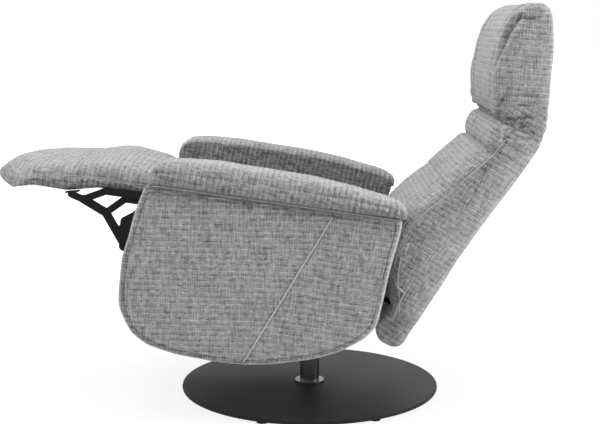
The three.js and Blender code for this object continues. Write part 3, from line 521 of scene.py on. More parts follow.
def ripple(points, seed, scale):
    # A smooth random wave: the mean of eight sines in random directions, each 0.6 to 1.6 times in a scale
    source = np.random.default_rng(seed)
    ways = unit(source.normal(size=(8, points.shape[-1])))
    phases = source.uniform(0, 2 * np.pi, 8)
    rates = source.uniform(0.6, 1.6, 8) * 2 * np.pi / scale
    return np.sin((points @ ways.T) * rates + phases).mean(-1)


def creased(plane, lines):
    # Folds along paths: each a bell across the path, which fades by a low power of a half sine along it
    total = 0
    for path, width, depth in lines:
        gap, along = nearestOn(plane, path)
        fading = np.sin(np.pi * np.clip(along, creaseMargin, 1 - creaseMargin)) ** creaseFade
        total = total + depth * bell(gap, width) * fading
    return total


def marked(v, **masks):
    # Rise and tone: each is the sum of the masks times that mark's own number. The tone is painted shade and
    # painted highlight
    return [sum(v["marks"][name][k] * mask for name, mask in masks.items()) for k in (1, 2)]


def widths(v):
    # Width of each mark by its name
    return {name: row[0] for name, row in v["marks"].items()}


def aside(grid, side, middle):
    # Moved out to its middle on the left, or mirrored there on the right
    return np.concatenate([side * (grid[..., :1] + middle), grid[..., 1:]], axis=-1)


def ringFaces(rings, around):
    # Squares between each ring of points and the next
    low = np.arange(rings - 1)[:, None] * around
    here = np.arange(around)
    there = (here + 1) % around
    corners = [low + here, low + there, low + around + there, low + around + here]
    return np.stack(corners, axis=-1).reshape(-1, 4)


def welded(grid):
    # Points that share a place are one, squares with one side gone are triangles, and flat ones go
    cells = np.round(grid.reshape(-1, 3) / weldCell).astype(np.int64)
    _, first, place = np.unique(cells, axis=0, return_index=True, return_inverse=True)
    place = place.ravel()
    faces = place[ringFaces(*grid.shape[:2])]
    twin = faces == np.roll(faces, -1, axis=1)
    whole = faces[~twin.any(1)]
    whole = whole[(whole[:, 0] != whole[:, 2]) & (whole[:, 1] != whole[:, 3])]
    torn = twin.sum(1) == 1
    corners = faces[torn][~twin[torn]].reshape(-1, 3)
    return grid.reshape(-1, 3)[first], whole.tolist() + corners.tolist(), place, first


def bareMesh(name, points, faces):
    # A mesh with its faces turned outwards
    mesh = bpy.data.meshes.new(name)
    mesh.from_pydata(points.tolist(), [], faces)
    work = bmesh.new()
    work.from_mesh(mesh)
    bmesh.ops.recalc_face_normals(work, faces=work.faces)
    work.to_mesh(mesh)
    work.free()
    return mesh


def meshPiece(name, grid, finish, tone):
    # The welded rings as one smooth piece, with the tone, its painted shade and painted highlight, on its
    # points
    points, faces, _, first = welded(grid)
    mesh = bareMesh(name, points, faces)
    values = np.broadcast_to(tone, grid.shape[:2]).reshape(-1)[first]
    mesh.attributes.new("tone", "FLOAT", "POINT").data.foreach_set("value", values.astype(np.float32))
    mesh.shade_smooth()
    mesh.materials.append(finishes[finish])
    return placed(name, mesh)


def clothPiece(name, grid, finish, tone, body, *replaced, soft=None):
    # A piece of cloth, made in its body's frame, that rides on the body and stands for the nodes it hides
    piece = meshPiece(name, bodyFrames[body](grid), finish, tone)
    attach(piece, body)
    if replaced:
        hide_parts(*replaced)
    return piece


swell = {
    "skip": 2, "frames": 20,
    "cloth": {
        "quality": 4,
        "mass": 0.25,
        "tension_stiffness": 12,
        "compression_stiffness": 12,
        "bending_stiffness": 0.6,
        "use_pressure": True,
        "uniform_pressure_force": 4.0,
        "shrink_min": -0.03,
        "vertex_group_mass": "held",
    },
}


def between(values, stops, wanted):
    # Values given at the stops, at the wanted places by straight lines along the first axis
    share = np.interp(wanted, stops, np.arange(len(stops)))
    low = np.minimum(share.astype(int), len(stops) - 2)
    part = (share - low)[:, None, None]
    return values[low] * (1 - part) + values[low + 1] * part


def swollen(name, grid, held, cap, v=swell):
    # Cloth simulation on every other ring and point: the skin is a little too large and air presses it out,
    # while the held points stay. Each move m becomes m cap / (cap + m) and is spread back over the fine grid
    rings, around = grid.shape[:2]
    rows = np.unique(np.append(np.arange(0, rings, v["skip"]), rings - 1))
    columns = np.arange(0, around, v["skip"])
    points, faces, place, first = welded(grid[rows][:, columns])
    piece = placed(name + "Swell", bareMesh(name + "Swell", points, faces))
    pinned = held[rows][:, columns].reshape(-1)[first]
    piece.vertex_groups.new(name="held").add(np.flatnonzero(pinned).tolist(), 1.0, "REPLACE")
    skin = piece.modifiers.new("cloth", "CLOTH")
    for label, value in v["cloth"].items():
        setattr(skin.settings, label, value)
    skin.settings.effector_weights.gravity = 0
    skin.point_cache.frame_start = 1
    skin.point_cache.frame_end = v["frames"]
    scene = bpy.context.scene
    for frameNumber in range(1, v["frames"] + 1):
        scene.frame_set(frameNumber)
    shaped = piece.evaluated_get(bpy.context.evaluated_depsgraph_get())
    end = np.empty(len(shaped.data.vertices) * 3)
    shaped.data.vertices.foreach_get("co", end)
    scene.frame_set(1)
    mesh = piece.data
    bpy.data.objects.remove(piece)
    bpy.data.meshes.remove(mesh)
    move = end.reshape(-1, 3) - points
    length = np.linalg.norm(move, axis=1, keepdims=True)
    print(f"{name} swollen: {length.max() * 1000:.1f} mm before the cap")
    move = (move * (cap / (cap + length)))[place].reshape(len(rows), len(columns), 3)
    move = between(move, rows, np.arange(rings))
    move = np.concatenate([move, move[:, :1]], axis=1).swapaxes(0, 1)
    move = between(move, np.append(columns, around), np.arange(around)).swapaxes(0, 1)
    for ring in (0, -1):
        _, spot = np.unique(np.round(grid[ring] / weldCell), axis=0, return_inverse=True)
        spot = spot.ravel()
        sums = np.stack([np.bincount(spot, move[ring, :, k]) for k in range(3)], axis=1)
        move[ring] = (sums / np.bincount(spot)[:, None])[spot]
    return grid + move


def laidOn(path, grid, lift):
    # A path moved on to a surface: along the normal of the nearest grid point, to its tangent plane and lift
    spots = grid.reshape(-1, 3)
    nearest = ((path[:, None] - spots) ** 2).sum(-1).argmin(1)
    ways = gridNormals(grid).reshape(-1, 3)[nearest]
    rise = ((spots[nearest] - path) * ways).sum(1) + lift
    return path + ways * rise[:, None]


def piping(name, body, path, radius, tone, sides=8):
    # A circle carried along a path, across its direction and a guide axis, with ends drawn to a point
    ahead = unit(np.gradient(path, axis=0))
    guide = [1.0, 0, 0] if abs(ahead[:, 0]).mean() < 0.7 else [0, 0, 1.0]
    first = unit(np.cross(ahead, guide))
    second = np.cross(ahead, first)
    angle = np.linspace(0, 2 * np.pi, sides, endpoint=False)[None, :, None]
    ring = first[:, None] * np.cos(angle) + second[:, None] * np.sin(angle)
    size = np.full((len(path), 1, 1), radius)
    size[[0, -1]] = 0
    # The pipings' lighter seamCloth and their tone paint a highlight on the cord
    clothPiece(name, path[:, None] + ring * size, "seamCloth", tone, body)


def sidePiping(name, body, side, line, v, surface=None):
    # A line in the side view, stood at X and laid on the surface; its last points tuck in
    path = np.column_stack([np.full(v["points"], side * v["x"]), evenPath(line, v["points"])])
    if surface is not None:
        path = laidOn(path, surface, v["lift"])
    path[-2:, 0] -= side * np.array(v.get("tuck", (0, 0)))
    piping(name, body, path, v["radius"], v["tone"])


sides = (("Left", 1), ("Right", -1))

# Side pads, and the side boards' cloth skins behind them

# "even" is an outline's point count and the blur of its corners, and "counts" is the rings across, round the
# edge and over each end, and how far those crowd. A mark has a width, a rise and a tone, which is painted
# shade below 0 and painted highlight above 0

sidePad = {
    "loop": [
        (-0.459, 0.511), (-0.47, 0.433), (-0.48, 0.327), (-0.476, 0.25), (-0.467, 0.204), (-0.4495, 0.174),
        (-0.423, 0.14), (-0.378, 0.118), (-0.303, 0.108), (-0.2155, 0.11), (-0.138, 0.118), (-0.064, 0.135),
        (0.027, 0.167), (0.095, 0.204), (0.143, 0.247), (0.167, 0.285), (0.168, 0.44), (0.172, 0.53),
        (0.173, 0.5563), (-0.146, 0.5335),
    ],
    "even": (300, 0.011), "middle": [(-0.26, 0.32), (-0.03, 0.36)],
    "half": 0.0387, "edge": 0.015, "bulge": 0.004, "counts": (8, 8, 54, 1.7),
    "inner": 0.2668,
    "topLine": (0.5402, 0.072),  # height at y = 0 and slope
    "belowTop": (0.004, 0.018),
    "stitches": (0.0085, 0.0145),
    "stripFrom": (-0.25, 0.12),
    # Tones: painted shade in the stitch grooves and beside the seam, a painted shadow along the top under the
    # arm, and a painted highlight on the rim, stronger in a strip towards the rear
    "marks": {
        "stitch": (0.0015, -0.0017, -0.42), "welt": (0.0022, 0.0008, 0),
        "beside": (0.0035, -0.0016, -0.3), "wave": (0.16, 0.0018, 0), "rim": (0.01, 0, 0.14),
        "top": (0.03, 0, -0.1), "strip": (0.0078, 0, 0.3),
    },
    "seam": [(0.0036, 0.533), (-0.138, 0.1225)],
    "piping": {
        # The piping's tone 0.34 is a painted highlight on the cord
        "x": 0.3482, "points": 60, "lift": 0.0004, "tuck": (0.001, 0.003), "radius": 0.0021, "tone": 0.34,
    },
}
sideSkin = {
    "inset": 0.01,
    "even": (200, 0.004), "middle": sidePad["middle"],
    "half": 0.0081, "edge": 0.003, "counts": (4, 4, 16),
    "inner": 0.2502,
    # Tone -0.12 is painted shade on the skin's inner face, towards the seat
    "name": "sideSkin", "hides": "side_board", "finish": "panelFrontCloth", "tone": -0.12, "soft": None,
}


def addSidePad(name, side, v):
    # Closed across its width. On the outer face two stitch grooves follow the rim, and a piped seam crosses,
    # behind which the rows of the weave turn
    loop = evenLoop(v["loop"], *v["even"])
    grid = padOf(v)
    plane, outer = grid[..., 1:], grid[..., 0] > 0
    rim, _ = nearestOn(plane, np.vstack([loop[::3], loop[:1]]))
    cut, _ = nearestOn(plane, v["seam"])
    height, slope = v["topLine"]
    low = height + slope * plane[..., 0] - plane[..., 1]
    below = ramp(low, *v["belowTop"])
    w = widths(v)
    # The tone paints shade in the grooves and under the arm, and a painted highlight along the rim
    rise, tone = marked(
        v,
        stitch=sum(bell(rim - place, w["stitch"]) for place in v["stitches"]) * below,
        welt=bell(rim - sum(v["stitches"]) / 2, w["welt"]) * below,
        beside=bell(cut, w["beside"]),
        wave=ripple(plane, 5, w["wave"]),
        rim=bell(rim, w["rim"]) * below,
        top=bell(low, w["top"]),
        strip=bell(rim, w["strip"]) * ramp(plane[..., 0], *v["stripFrom"]),
    )
    grid = aside(pushed(grid, rise * outer), side, v["inner"] + v["half"])
    node = f"side_panel_{name.lower()}"
    piece = clothPiece(
        f"sidePad{name}", grid, "panelFrontCloth", tone * outer, "seat_shell", node, soft=0.8
    )
    piece.data.materials.append(finishes["panelRearCloth"])
    spots = np.empty(len(piece.data.polygons) * 3)
    piece.data.polygons.foreach_get("center", spots)
    shell = inShell(spots.reshape(-1, 3), back=1)
    (y0, z0), (y1, z1) = v["seam"]
    behind = (shell[:, 1] - y0) * (z1 - z0) - (shell[:, 2] - z0) * (y1 - y0) < 0
    piece.data.polygons.foreach_set("material_index", behind.astype(np.int32))
    sidePiping(f"diagonalPiping{name}", "seat_shell", side, v["seam"], v["piping"], grid)
    return loop


def addThinPad(name, side, v, loop):
    # An outline closed across a thin width, on the inner side of a panel or an arm, with its tone as painted
    # shade
    grid = padOf(dict(v, loop=loop))
    grid = aside(grid, side, v["inner"] + v["half"])
    hidden = f"{v['hides']}_{name.lower()}"
    clothPiece(v["name"] + name, grid, v["finish"], v["tone"], "seat_shell", hidden, soft=v["soft"])


for name, side in sides:
    outline = addSidePad(name, side, sidePad)
    inward = outline.mean(0) - outline
    inset = sideSkin["inset"] / np.linalg.norm(inward, axis=1, keepdims=True)
    addThinPad(name, side, sideSkin, outline + inward * inset)
print("side pads made")

# Arm pads, and the linings on their inner faces

armPad = {
    "loop": [
        (-0.452, 0.5123), (-0.4508, 0.5313), (-0.4483, 0.5522), (-0.432, 0.5712), (-0.4, 0.581),
        (-0.3589, 0.5874), (-0.282, 0.5964), (-0.2045, 0.6002), (-0.1276, 0.6043), (-0.0495, 0.6073),
        (0.0305, 0.6043), (0.09, 0.6005), (0.12, 0.598), (0.15, 0.5935), (0.17, 0.586), (0.179, 0.574),
        (0.179, 0.56), (0.03, 0.5468), (-0.2, 0.5304),
    ],
    "even": (260, 0.006), "middle": [(-0.425, 0.541), (0.145, 0.573)],
    "half": 0.06, "edge": 0.022, "bulge": 0.003, "counts": (24, 10, 10),
    "centre": 0.3,
    "footLine": (-0.452, 0.512, 0.0715, 0.09),  # from y, height there, slope, and the pad's height above
    "rear": (-0.2, 0.1),
    "lowerHalf": 0.55,
    "gather": (0.3, 0.7, 0.25, 0.75),  # least and more to the rear, least and more below
    "gatherSway": (1.8, 0.09),
    "seam": [(-0.446, 0.547), (-0.4, 0.5535), (-0.21, 0.572), (-0.009, 0.58), (0.12, 0.583), (0.16, 0.577)],
    "fans": {
        # centre, way, number of folds, radius
        "pleat": (0.15, 0.56, 1, 15, 0.022),
        "nose": (-0.425, 0.535, -1, 9, 0.025),
    },
    "switch": ((-0.135, 0.553), (0.042, 0.024)),
    "foldFrom": (0.02, 0.12), "waveFrom": (0, 0.2), "topFrom": (0.75, 0.95),
    # Tones: painted light and shade across the gathers and pleats, painted shade in the seam and on the lower
    # half of the sides, and a painted highlight on the top
    "marks": {
        "fold": (0.0168, 0.0021, 0.11), "seam": (0.0028, -0.0014, -0.16), "below": (0.35, 0, -0.09),
        "pleat": (0.018, 0.0016, 0.1), "nose": (0.014, 0.0009, 0), "wave": (0.12, 0.0016, 0),
        "switch": (0, -0.0075, 0), "top": (0, 0, 0.05),
    },
    "foot": [(-0.444, 0.5125), (0.168, 0.5563)],
    # The piping's tone -0.06 is a painted shadow line at the arm's foot
    "piping": {"x": 0.3535, "points": 70, "radius": 0.0017, "tone": -0.06},
}
armLiner = {
    "loop": [
        (-0.444, 0.4845), (0.163, 0.4845), (0.17, 0.56), (0.164, 0.581), (0.118, 0.59), (0.03, 0.5963),
        (-0.05, 0.5993), (-0.1276, 0.5963), (-0.2045, 0.5922), (-0.282, 0.5884), (-0.3589, 0.5794),
        (-0.412, 0.572), (-0.436, 0.56), (-0.446, 0.54), (-0.4485, 0.512),
    ],
    "even": (200, 0.003), "middle": [(-0.39, 0.53), (0.13, 0.54)],
    "half": 0.0097, "edge": 0.0045, "counts": (4, 5, 9),
    "inner": 0.23,
    # Tone -0.26 is painted shade on the arm's inner face
    "name": "armLiner", "hides": "arm_pad", "finish": "armCloth", "tone": -0.26, "soft": 0.9,
}


def fan(y, z, width, row):
    # Folds that spread from a centre: a sine of the angle times a bell across a circle round it
    midY, midZ, way, count, radius = row
    folds = np.sin(np.arctan2(z - midZ, way * (y - midY)) * count)
    return folds * bell(np.hypot(y - midY, z - midZ) - radius, width)


def addArmPad(name, side, v):
    # Closed across its width, gathered by a swaying sine along its sides, with a seam, fanned pleats at both
    # ends and, on the right arm, a hollow round the push buttons
    grid = padOf(v)
    x, y, z = np.moveaxis(grid, -1, 0)
    front, height, slope, tall = v["footLine"]
    up = (z - height - slope * (y - front)) / tall
    outward = np.abs(x) > v["half"] - v["edge"]
    w = widths(v)
    below = ramp(v["lowerHalf"] - up, 0, w["below"])
    least, more, leastLow, moreLow = v["gather"]
    sway, length = v["gatherSway"]
    phase = 2 * np.pi * y / w["fold"] + sway * ripple(grid, 11, length)
    fold = np.sin(phase) * (least + more * ramp(y, *v["rear"])) * (leastLow + moreLow * below)
    gap, _ = nearestOn(grid[..., 1:], v["seam"])
    (byY, byZ), (longer, taller) = v["switch"]
    hollow = np.exp(-np.hypot((y - byY) / longer, (z - byZ) / taller) ** 4) * (x < 0)
    # The tone paints light and shade on the gathers and pleats, shade in the seam and low down, and a
    # highlight on top
    rise, tone = marked(
        v,
        fold=fold * ramp(up, *v["foldFrom"]),
        seam=bell(gap, w["seam"]) * outward,
        below=below * outward,
        pleat=fan(y, z, w["pleat"], v["fans"]["pleat"]) * outward,
        nose=fan(y, z, w["nose"], v["fans"]["nose"]) * outward,
        wave=ripple(grid, 12, w["wave"]) * ramp(up, *v["waveFrom"]),
        switch=hollow * (side < 0),
        top=ramp(up, *v["topFrom"]),
    )
    grid = aside(pushed(grid, rise), side, v["centre"])
    node = f"arm_pad_{name.lower()}"
    clothPiece(f"armPad{name}", grid, "armCloth", tone, "seat_shell", node, soft=0.8)
    sidePiping(f"armPiping{name}", "seat_shell", side, v["foot"], v["piping"])


for name, side in sides:
    addArmPad(name, side, armPad)
    addThinPad(name, side, armLiner, armLiner["loop"])
print("arm pads made")

# Seat pad

seatPad = {
    "front": -0.418, "length": 0.575, "foot": 0.3486, "rise": 0.156,
    "shares": [
        (0.03, 0), (0.01, 0.1), (0, 0.4), (0.008, 0.72), (0.045, 0.93), (0.12, 1), (0.28, 0.985),
        (0.45, 0.9), (0.62, 0.82), (0.8, 0.765), (0.93, 0.73), (0.985, 0.64), (1, 0.42), (0.99, 0.08),
        (0.97, 0),
    ],
    "even": (170, 0.005), "middle": [(-0.36, 0.42), (0.1, 0.4)],
    "half": 0.2255, "edge": 0.03, "bulge": 0.001, "counts": (44, 7, 8),
    "crown": 0.014, "slack": 0.003, "held": 0.12, "cap": 0.009, "creaseAt": 0.02,
    "slackFrom": (0.1, 0.4), "waveFrom": (0.3, 0.6), "creaseFrom": 0.4,
    # The crease's tone -0.2 is painted shade in it
    "marks": {
        "wave": (0.14, 0.002, 0), "crease": (0.006, -0.0022, -0.2),
    },
}


def addSeatPad(v):
    # Closed across its width, its top lowered by the square of the width, swollen, waved and creased once,
    # with painted shade in the crease
    points = np.array(v["shares"]) * [v["length"], v["rise"]] + [v["front"], v["foot"]]
    grid = padOf(dict(v, loop=points))
    up = (grid[..., 2] - v["foot"]) / v["rise"]
    grid[..., 2] -= v["crown"] * (grid[..., 0] / v["half"]) ** 2 * np.clip(up, 0, 1)
    grid = pushed(grid, -v["slack"] * ramp(up, *v["slackFrom"]))
    grid = swollen("seatPad", grid, up < v["held"], v["cap"])
    up = (grid[..., 2] - v["foot"]) / v["rise"]
    w = widths(v)
    rise, tone = marked(
        v,
        wave=ramp(up, *v["waveFrom"]) * ripple(grid, 21, w["wave"]),
        crease=bell(grid[..., 1] - v["creaseAt"], w["crease"]) * (up > v["creaseFrom"]),
    )
    grid = pushed(grid, rise)
    clothPiece("seatPad", grid, "seatCloth", tone, "seat_shell", "seat_cushion", soft=0.75)


addSeatPad(seatPad)
print("seat pad made")

# Footrest pad

footPad = {
    "tip": -0.885,
    "loop": [
        (-0.885, 0.418), (-0.8815, 0.425), (-0.8715, 0.4348), (-0.858, 0.45), (-0.84, 0.4653),
        (-0.8, 0.4815), (-0.737, 0.4945), (-0.6901, 0.5022), (-0.6501, 0.512), (-0.6249, 0.52),
        (-0.6002, 0.5293), (-0.5561, 0.5383), (-0.5102, 0.5369), (-0.471, 0.5344), (-0.4463, 0.5279),
        (-0.4359, 0.5112), (-0.4365, 0.47), (-0.445, 0.4575), (-0.585, 0.4575), (-0.665, 0.4335),
        (-0.75, 0.43), (-0.804, 0.4255), (-0.84, 0.4215), (-0.876, 0.4145),
    ],
    "even": (220, 0.004), "middle": [(-0.85, 0.435), (-0.47, 0.5)],
    "half": 0.234, "edge": 0.024, "bulge": 0.002, "counts": (48, 9, 9),
    "sole": [(-0.885, 0.411), (-0.8, 0.426), (-0.665, 0.434), (-0.585, 0.458), (-0.44, 0.458)],
    "thick": 0.08, "crown": 0.016,
    "droop": (0.0045, -0.815, 0.055),
    "bow": 0.094, "bowReach": 0.135, "slack": 0.002, "held": 0.1, "cap": 0.006,
    "slackFrom": (0.1, 0.5), "flank": (0.024, 0.0072),
    "dip": (-0.655, 0.01),
    "seam": [(-0.76, 0.461), (-0.61, 0.485), (-0.508, 0.49), (-0.4577, 0.4921)],
    "seamTip": (-0.86, 0.433),
    # Below this line the underside gets painted shade
    "shadeLine": [(-0.88, 0.434), (-0.76, 0.461), (-0.61, 0.485), (-0.508, 0.49), (-0.45, 0.493)],
    "shadeLift": (0.018, -0.88, 0.05), "shadeFrom": (0.05, 0.13),
    # Tones: painted shade in the dip, in the side seams and on the underside
    "marks": {
        "dip": (0.009, -0.0018, -0.1), "seam": (0.0035, -0.0018, -0.1), "wave": (0.11, 0.0024, 0),
        "under": (0.012, 0, -0.2),
    },
    "pipingSide": (0.2335, (-0.82, 0.4445)),  # X, and the last point before the tip
    "pipingTip": (0.96, 33, 0.002, 0.42, 0.03),  # share of the width, points, inset, height, rise
    "pipingPoints": 160, "pipingBlur": 9, "pipingLift": 0.0003,
    # Radius and tone; the tone 0.06 is a painted highlight on the cord
    "piping": (0.0014, 0.06),
}


def addFootPad(v):
    # Closed across its width, its top lowered and its tip bowed by the square of the width, swollen, with a
    # dip across and side seams, both with painted shade, and painted shade on the underside
    grid = padOf(v)
    x, y, z = (grid[..., k].copy() for k in range(3))
    square = (x / v["half"]) ** 2
    up = np.clip((z - rowed(y, v["sole"])) / v["thick"], 0, 1)
    grid[..., 2] -= v["crown"] * square * up
    grid[..., 2] -= square * hump(y, *v["droop"])
    grid[..., 1] += v["bow"] * square * np.clip(1 - (y - v["tip"]) / v["bowReach"], 0, 1)
    grid = pushed(grid, -v["slack"] * ramp(up, *v["slackFrom"]))
    grid = swollen("footrestPad", grid, up < v["held"], v["cap"])
    w = widths(v)
    gap, _ = nearestOn(grid[..., 1:], [v["seamTip"], *v["seam"]])
    flank = ramp(np.abs(x), *(v["half"] - inset for inset in v["flank"]))
    split = rowed(y, v["shadeLine"]) + ramp(np.abs(x), *v["shadeFrom"]) * hump(y, *v["shadeLift"])
    dipAt, dipBow = v["dip"]
    rise, tone = marked(
        v,
        dip=bell(y - dipAt - dipBow * square, w["dip"]) * up,
        seam=bell(gap, w["seam"]) * flank,
        wave=up * ripple(grid, 31, w["wave"]),
        under=ramp(split - z, 0, w["under"]),
    )
    grid = pushed(grid, rise)
    hidden = ("footrest_cushion", "footrest_board")
    clothPiece("footrestPad", grid, "footCloth", tone, "footrest", *hidden, soft=0.7)
    far, last = v["pipingSide"]
    side = np.array([(far, *point) for point in (*v["seam"][::-1], last)])
    most, count, inset, height, lift = v["pipingTip"]
    share = np.linspace(most, -most, count)[:, None]
    nose = np.hstack([v["half"] * share, v["tip"] + v["bow"] * share**2 + inset, height + lift * share**2])
    path = evenPath(np.vstack([side, nose, side[::-1] * [-1, 1, 1]]), v["pipingPoints"])
    reach = v["pipingBlur"] // 2
    smooth = np.pad(laidOn(path, grid, v["pipingLift"]), ((reach, reach), (0, 0)), mode="edge")
    path = np.mean([smooth[k : k + len(path)] for k in range(v["pipingBlur"])], axis=0)
    piping("footrestPiping", "footrest", path, *v["piping"])


addFootPad(footPad)
print("footrest pad made")

# Back: cover round its rear and sides, front pad, pipings, neck roll

backRows = [
    # height along the back, depth of its side seam, depth of its front's middle
    (0.036, 0.07, 0.078), (0.07, 0.091, 0.102), (0.116, 0.124, 0.134), (0.18, 0.151, 0.163),
    (0.24, 0.164, 0.177), (0.297, 0.149, 0.162), (0.359, 0.125, 0.137), (0.419, 0.109, 0.121),
    (0.469, 0.092, 0.103), (0.5, 0.084, 0.095), (0.546, 0.08, 0.09), (0.59, 0.072, 0.08),
]
backCover = {
    "loop": [
        (0.0, 0.02), (0.0, 0.19), (0.0024, 0.27), (0.006, 0.342), (0.012, 0.413), (0.017, 0.458),
        (0.02, 0.496), (0.021, 0.535), (0.0215, 0.583), *[(-depth, up) for up, depth, _ in backRows[::-1]],
        (-0.076, 0.01), (-0.0885, -0.006), (-0.087, -0.022), (-0.072, -0.043), (-0.056, -0.053),
        (-0.038, -0.0535), (-0.018, -0.0515), (-0.004, -0.043), (0.002, -0.0285), (0.001, -0.003),
    ],
    "even": (280, 0.005), "middle": [(-0.045, 0.0), (-0.05, 0.55)],
    "half": 0.262, "edge": 0.018, "bulge": 0.001, "counts": (36, 9, 30),
    "narrow": (0.085, -0.055, 0.005),  # share, and where along the back it begins and ends
    "flank": (0.03, 0.01),
    "gusset": 0.0165,
    "creases": [
        # path in the side view, width, weight
        ([(-0.116, 0.5839), (-0.0771, 0.5895), (-0.0485, 0.616)], 0.006, 1.0),
        ([(-0.108, 0.557), (-0.0647, 0.5701), (-0.0396, 0.59)], 0.005, 0.9),
        ([(-0.0953, 0.5515), (-0.0431, 0.56), (-0.0109, 0.575)], 0.005, 0.8),
        ([(-0.1246, 0.5398), (-0.1028, 0.4864)], 0.005, 0.9),
        ([(-0.0738, 0.545), (-0.04, 0.535), (-0.005, 0.54)], 0.006, 0.5),
        ([(-0.085, 0.5), (-0.05, 0.505), (-0.01, 0.515)], 0.007, 0.4),
    ],
    "hollow": (-0.078, 0.07, 0.8),
    "bandFrom": (0.05, 0.1),
    # The side's painted shade is darkest at this share of the depth; the rear edge gets a painted highlight
    "darkest": 0.72,  # share of the depth where the side is darkest
    "rearFade": 2.5,
    # Tones: painted shade in the folds, the hollow, the sunk band, towards the foot and across the side, and
    # a painted highlight towards the rear edge
    "marks": {
        "wave": (0.13, 0.002, 0), "ruffle": (0.05, 0.0012, 0), "fold": (0, -0.0055, -0.22),
        "hollow": (0.012, -0.004, -0.22), "band": (0.003, -0.0016, -0.13), "foot": (0.12, 0, -0.05),
        "rear": (0, 0, 0.2), "side": (0.22, 0, -0.1),
    },
}


def narrowed(grid, share, low, high):
    # The width shrinks by a share downwards
    grid[..., 0] *= 1 - share * ramp(-grid[..., 2], low, high)


def addBackCover(v):
    # Closed across its width and narrowed at its foot, with creases, a hollow and a sunk band on its sides.
    # Its tone is painted shade in these and towards the foot, and a painted highlight towards the rear edge
    grid = padOf(v)
    plane = grid[..., 1:]
    narrowed(grid, *v["narrow"])
    flank = ramp(np.abs(grid[..., 0]), *(v["half"] - inset for inset in v["flank"]))
    w = widths(v)
    y, up, flat = v["hollow"]
    seam = rowed(plane[..., 1], backRows)
    front = ramp(-plane[..., 0] - seam + v["gusset"], 0, w["band"])
    share = np.clip(-plane[..., 0] / np.maximum(seam, 0.05), 0, 1)
    rise, tone = marked(
        v,
        wave=ripple(grid, 41, w["wave"]),
        ruffle=flank * ripple(grid, 42, w["ruffle"]),
        fold=creased(plane, v["creases"]) * flank,
        hollow=bell(np.hypot(plane[..., 0] - y, (plane[..., 1] - up) * flat), w["hollow"]) * flank,
        band=front * flank * ramp(plane[..., 1], *v["bandFrom"]),
        foot=ramp(-plane[..., 1], -w["foot"], 0),
        rear=(1 - share) ** v["rearFade"] * flank,
        side=bell(share - v["darkest"], w["side"]) * flank,
    )
    grid = pushed(grid, rise)
    clothPiece("backCover", grid, "backCloth", tone, "backrest", "back_shell", "back_roll", soft=0.7)
    return grid


backPad = {
    "loop": [(-0.262, 0.042), (0.262, 0.042), (0.262, 0.498), (-0.262, 0.498)],
    "even": (300, 0.009), "middle": [(-0.06, 0.27), (0.06, 0.27)],
    "half": 0.02, "edge": 0.016, "counts": (8, 8, 48, 1.1),
    "wide": 0.262, "held": 0.258, "lip": 0.006,
    "roundness": (0.35, 0.012),  # slope, and the depth that is level with the seam
    "faceTo": 0.012,
    "rearInset": 0.03, "cap": 0.006,
    "tuckAt": (0.383, 0.02, 0.004, 0.2),  # height, bow across, sway and its length
    "lowAt": (0.25, 0.02),
    "narrow": (0.07, -0.2, -0.04),
    # Tones: painted shade in the two tucks
    "marks": {
        "wave": (0.15, 0.0028, 0), "tuck": (0.006, -0.0032, -0.1), "low": (0.01, -0.00156, -0.03),
    },
}


def addBackPad(v):
    # Closed across its depth, then bent: depth runs from the side seam to the middle by one minus an eighth
    # power of the width. Swollen, with two tucks bowed across, each with painted shade
    grid = padOf(v)
    deep, x, up = np.moveaxis(grid, -1, 0)
    seam, middle = (rowed(up, backRows, column) for column in (1, 2))
    start = seam - v["lip"]
    crown = (1 - np.clip(np.abs(x) / v["wide"], 0, 1) ** 8) * ramp(deep, -v["half"], v["half"])
    slope, edge = v["roundness"]
    face = start + (middle - start) * crown + slope * (deep - edge)
    depth = np.where(deep > 0, face, seam - v["rearInset"])
    grid = np.stack([x, -depth, up], axis=-1)
    grid = swollen("backPad", grid, (deep <= 0) | (np.abs(x) > v["held"]), v["cap"])
    square = (x / v["wide"]) ** 2
    w = widths(v)
    tuckAt, tuckBow, sway, length = v["tuckAt"]
    lowAt, lowBow = v["lowAt"]
    face = ramp(deep, 0, v["faceTo"])
    rise, tone = marked(
        v,
        wave=ripple(grid, 51, w["wave"]),
        tuck=bell(up - tuckAt + tuckBow * square + sway * ripple(grid[..., :1], 53, length), w["tuck"]),
        low=bell(up - lowAt + lowBow * square, w["low"]),
    )
    grid = pushed(grid, face * rise)
    narrowed(grid, *v["narrow"])
    clothPiece("backPad", grid, "backPadCloth", face * tone, "backrest", "back_cushion", soft=0.75)
    return grid


neckRoll = {
    "loop": [
        (-0.055, 0.503), (-0.0863, 0.5027), (-0.0936, 0.51), (-0.1, 0.526), (-0.1035, 0.545),
        (-0.1024, 0.563), (-0.0936, 0.5756), (-0.077, 0.5873), (-0.055, 0.588),
    ],
    "even": (150, 0.006), "middle": [(-0.07, 0.545), (-0.082, 0.545)],
    "half": 0.262, "edge": 0.024, "bulge": 0.002, "counts": (80, 9, 9),
    "front": (0.06, 0.09),
    "stretch": [1.0, 1.0, 0.35],
    # The fold's tone is painted light and shade across the waves
    "marks": {
        "fold": (0.035, 0.0042, 0.14), "wave": (0.02, 0.0018, 0),
    },
}


def addNeckRoll(v):
    # Closed across its width, with random waves stretched upwards on its front, painted light and shade
    # across them
    grid = padOf(v)
    w = widths(v)
    rise, tone = marked(
        v,
        fold=ramp(-grid[..., 1], *v["front"]) * ripple(grid * v["stretch"], 61, w["fold"]),
        wave=ripple(grid, 62, w["wave"]),
    )
    grid = pushed(grid, rise)
    clothPiece("neckRoll", grid, "backPadCloth", tone, "backrest", "neck_roll", soft=0.6)


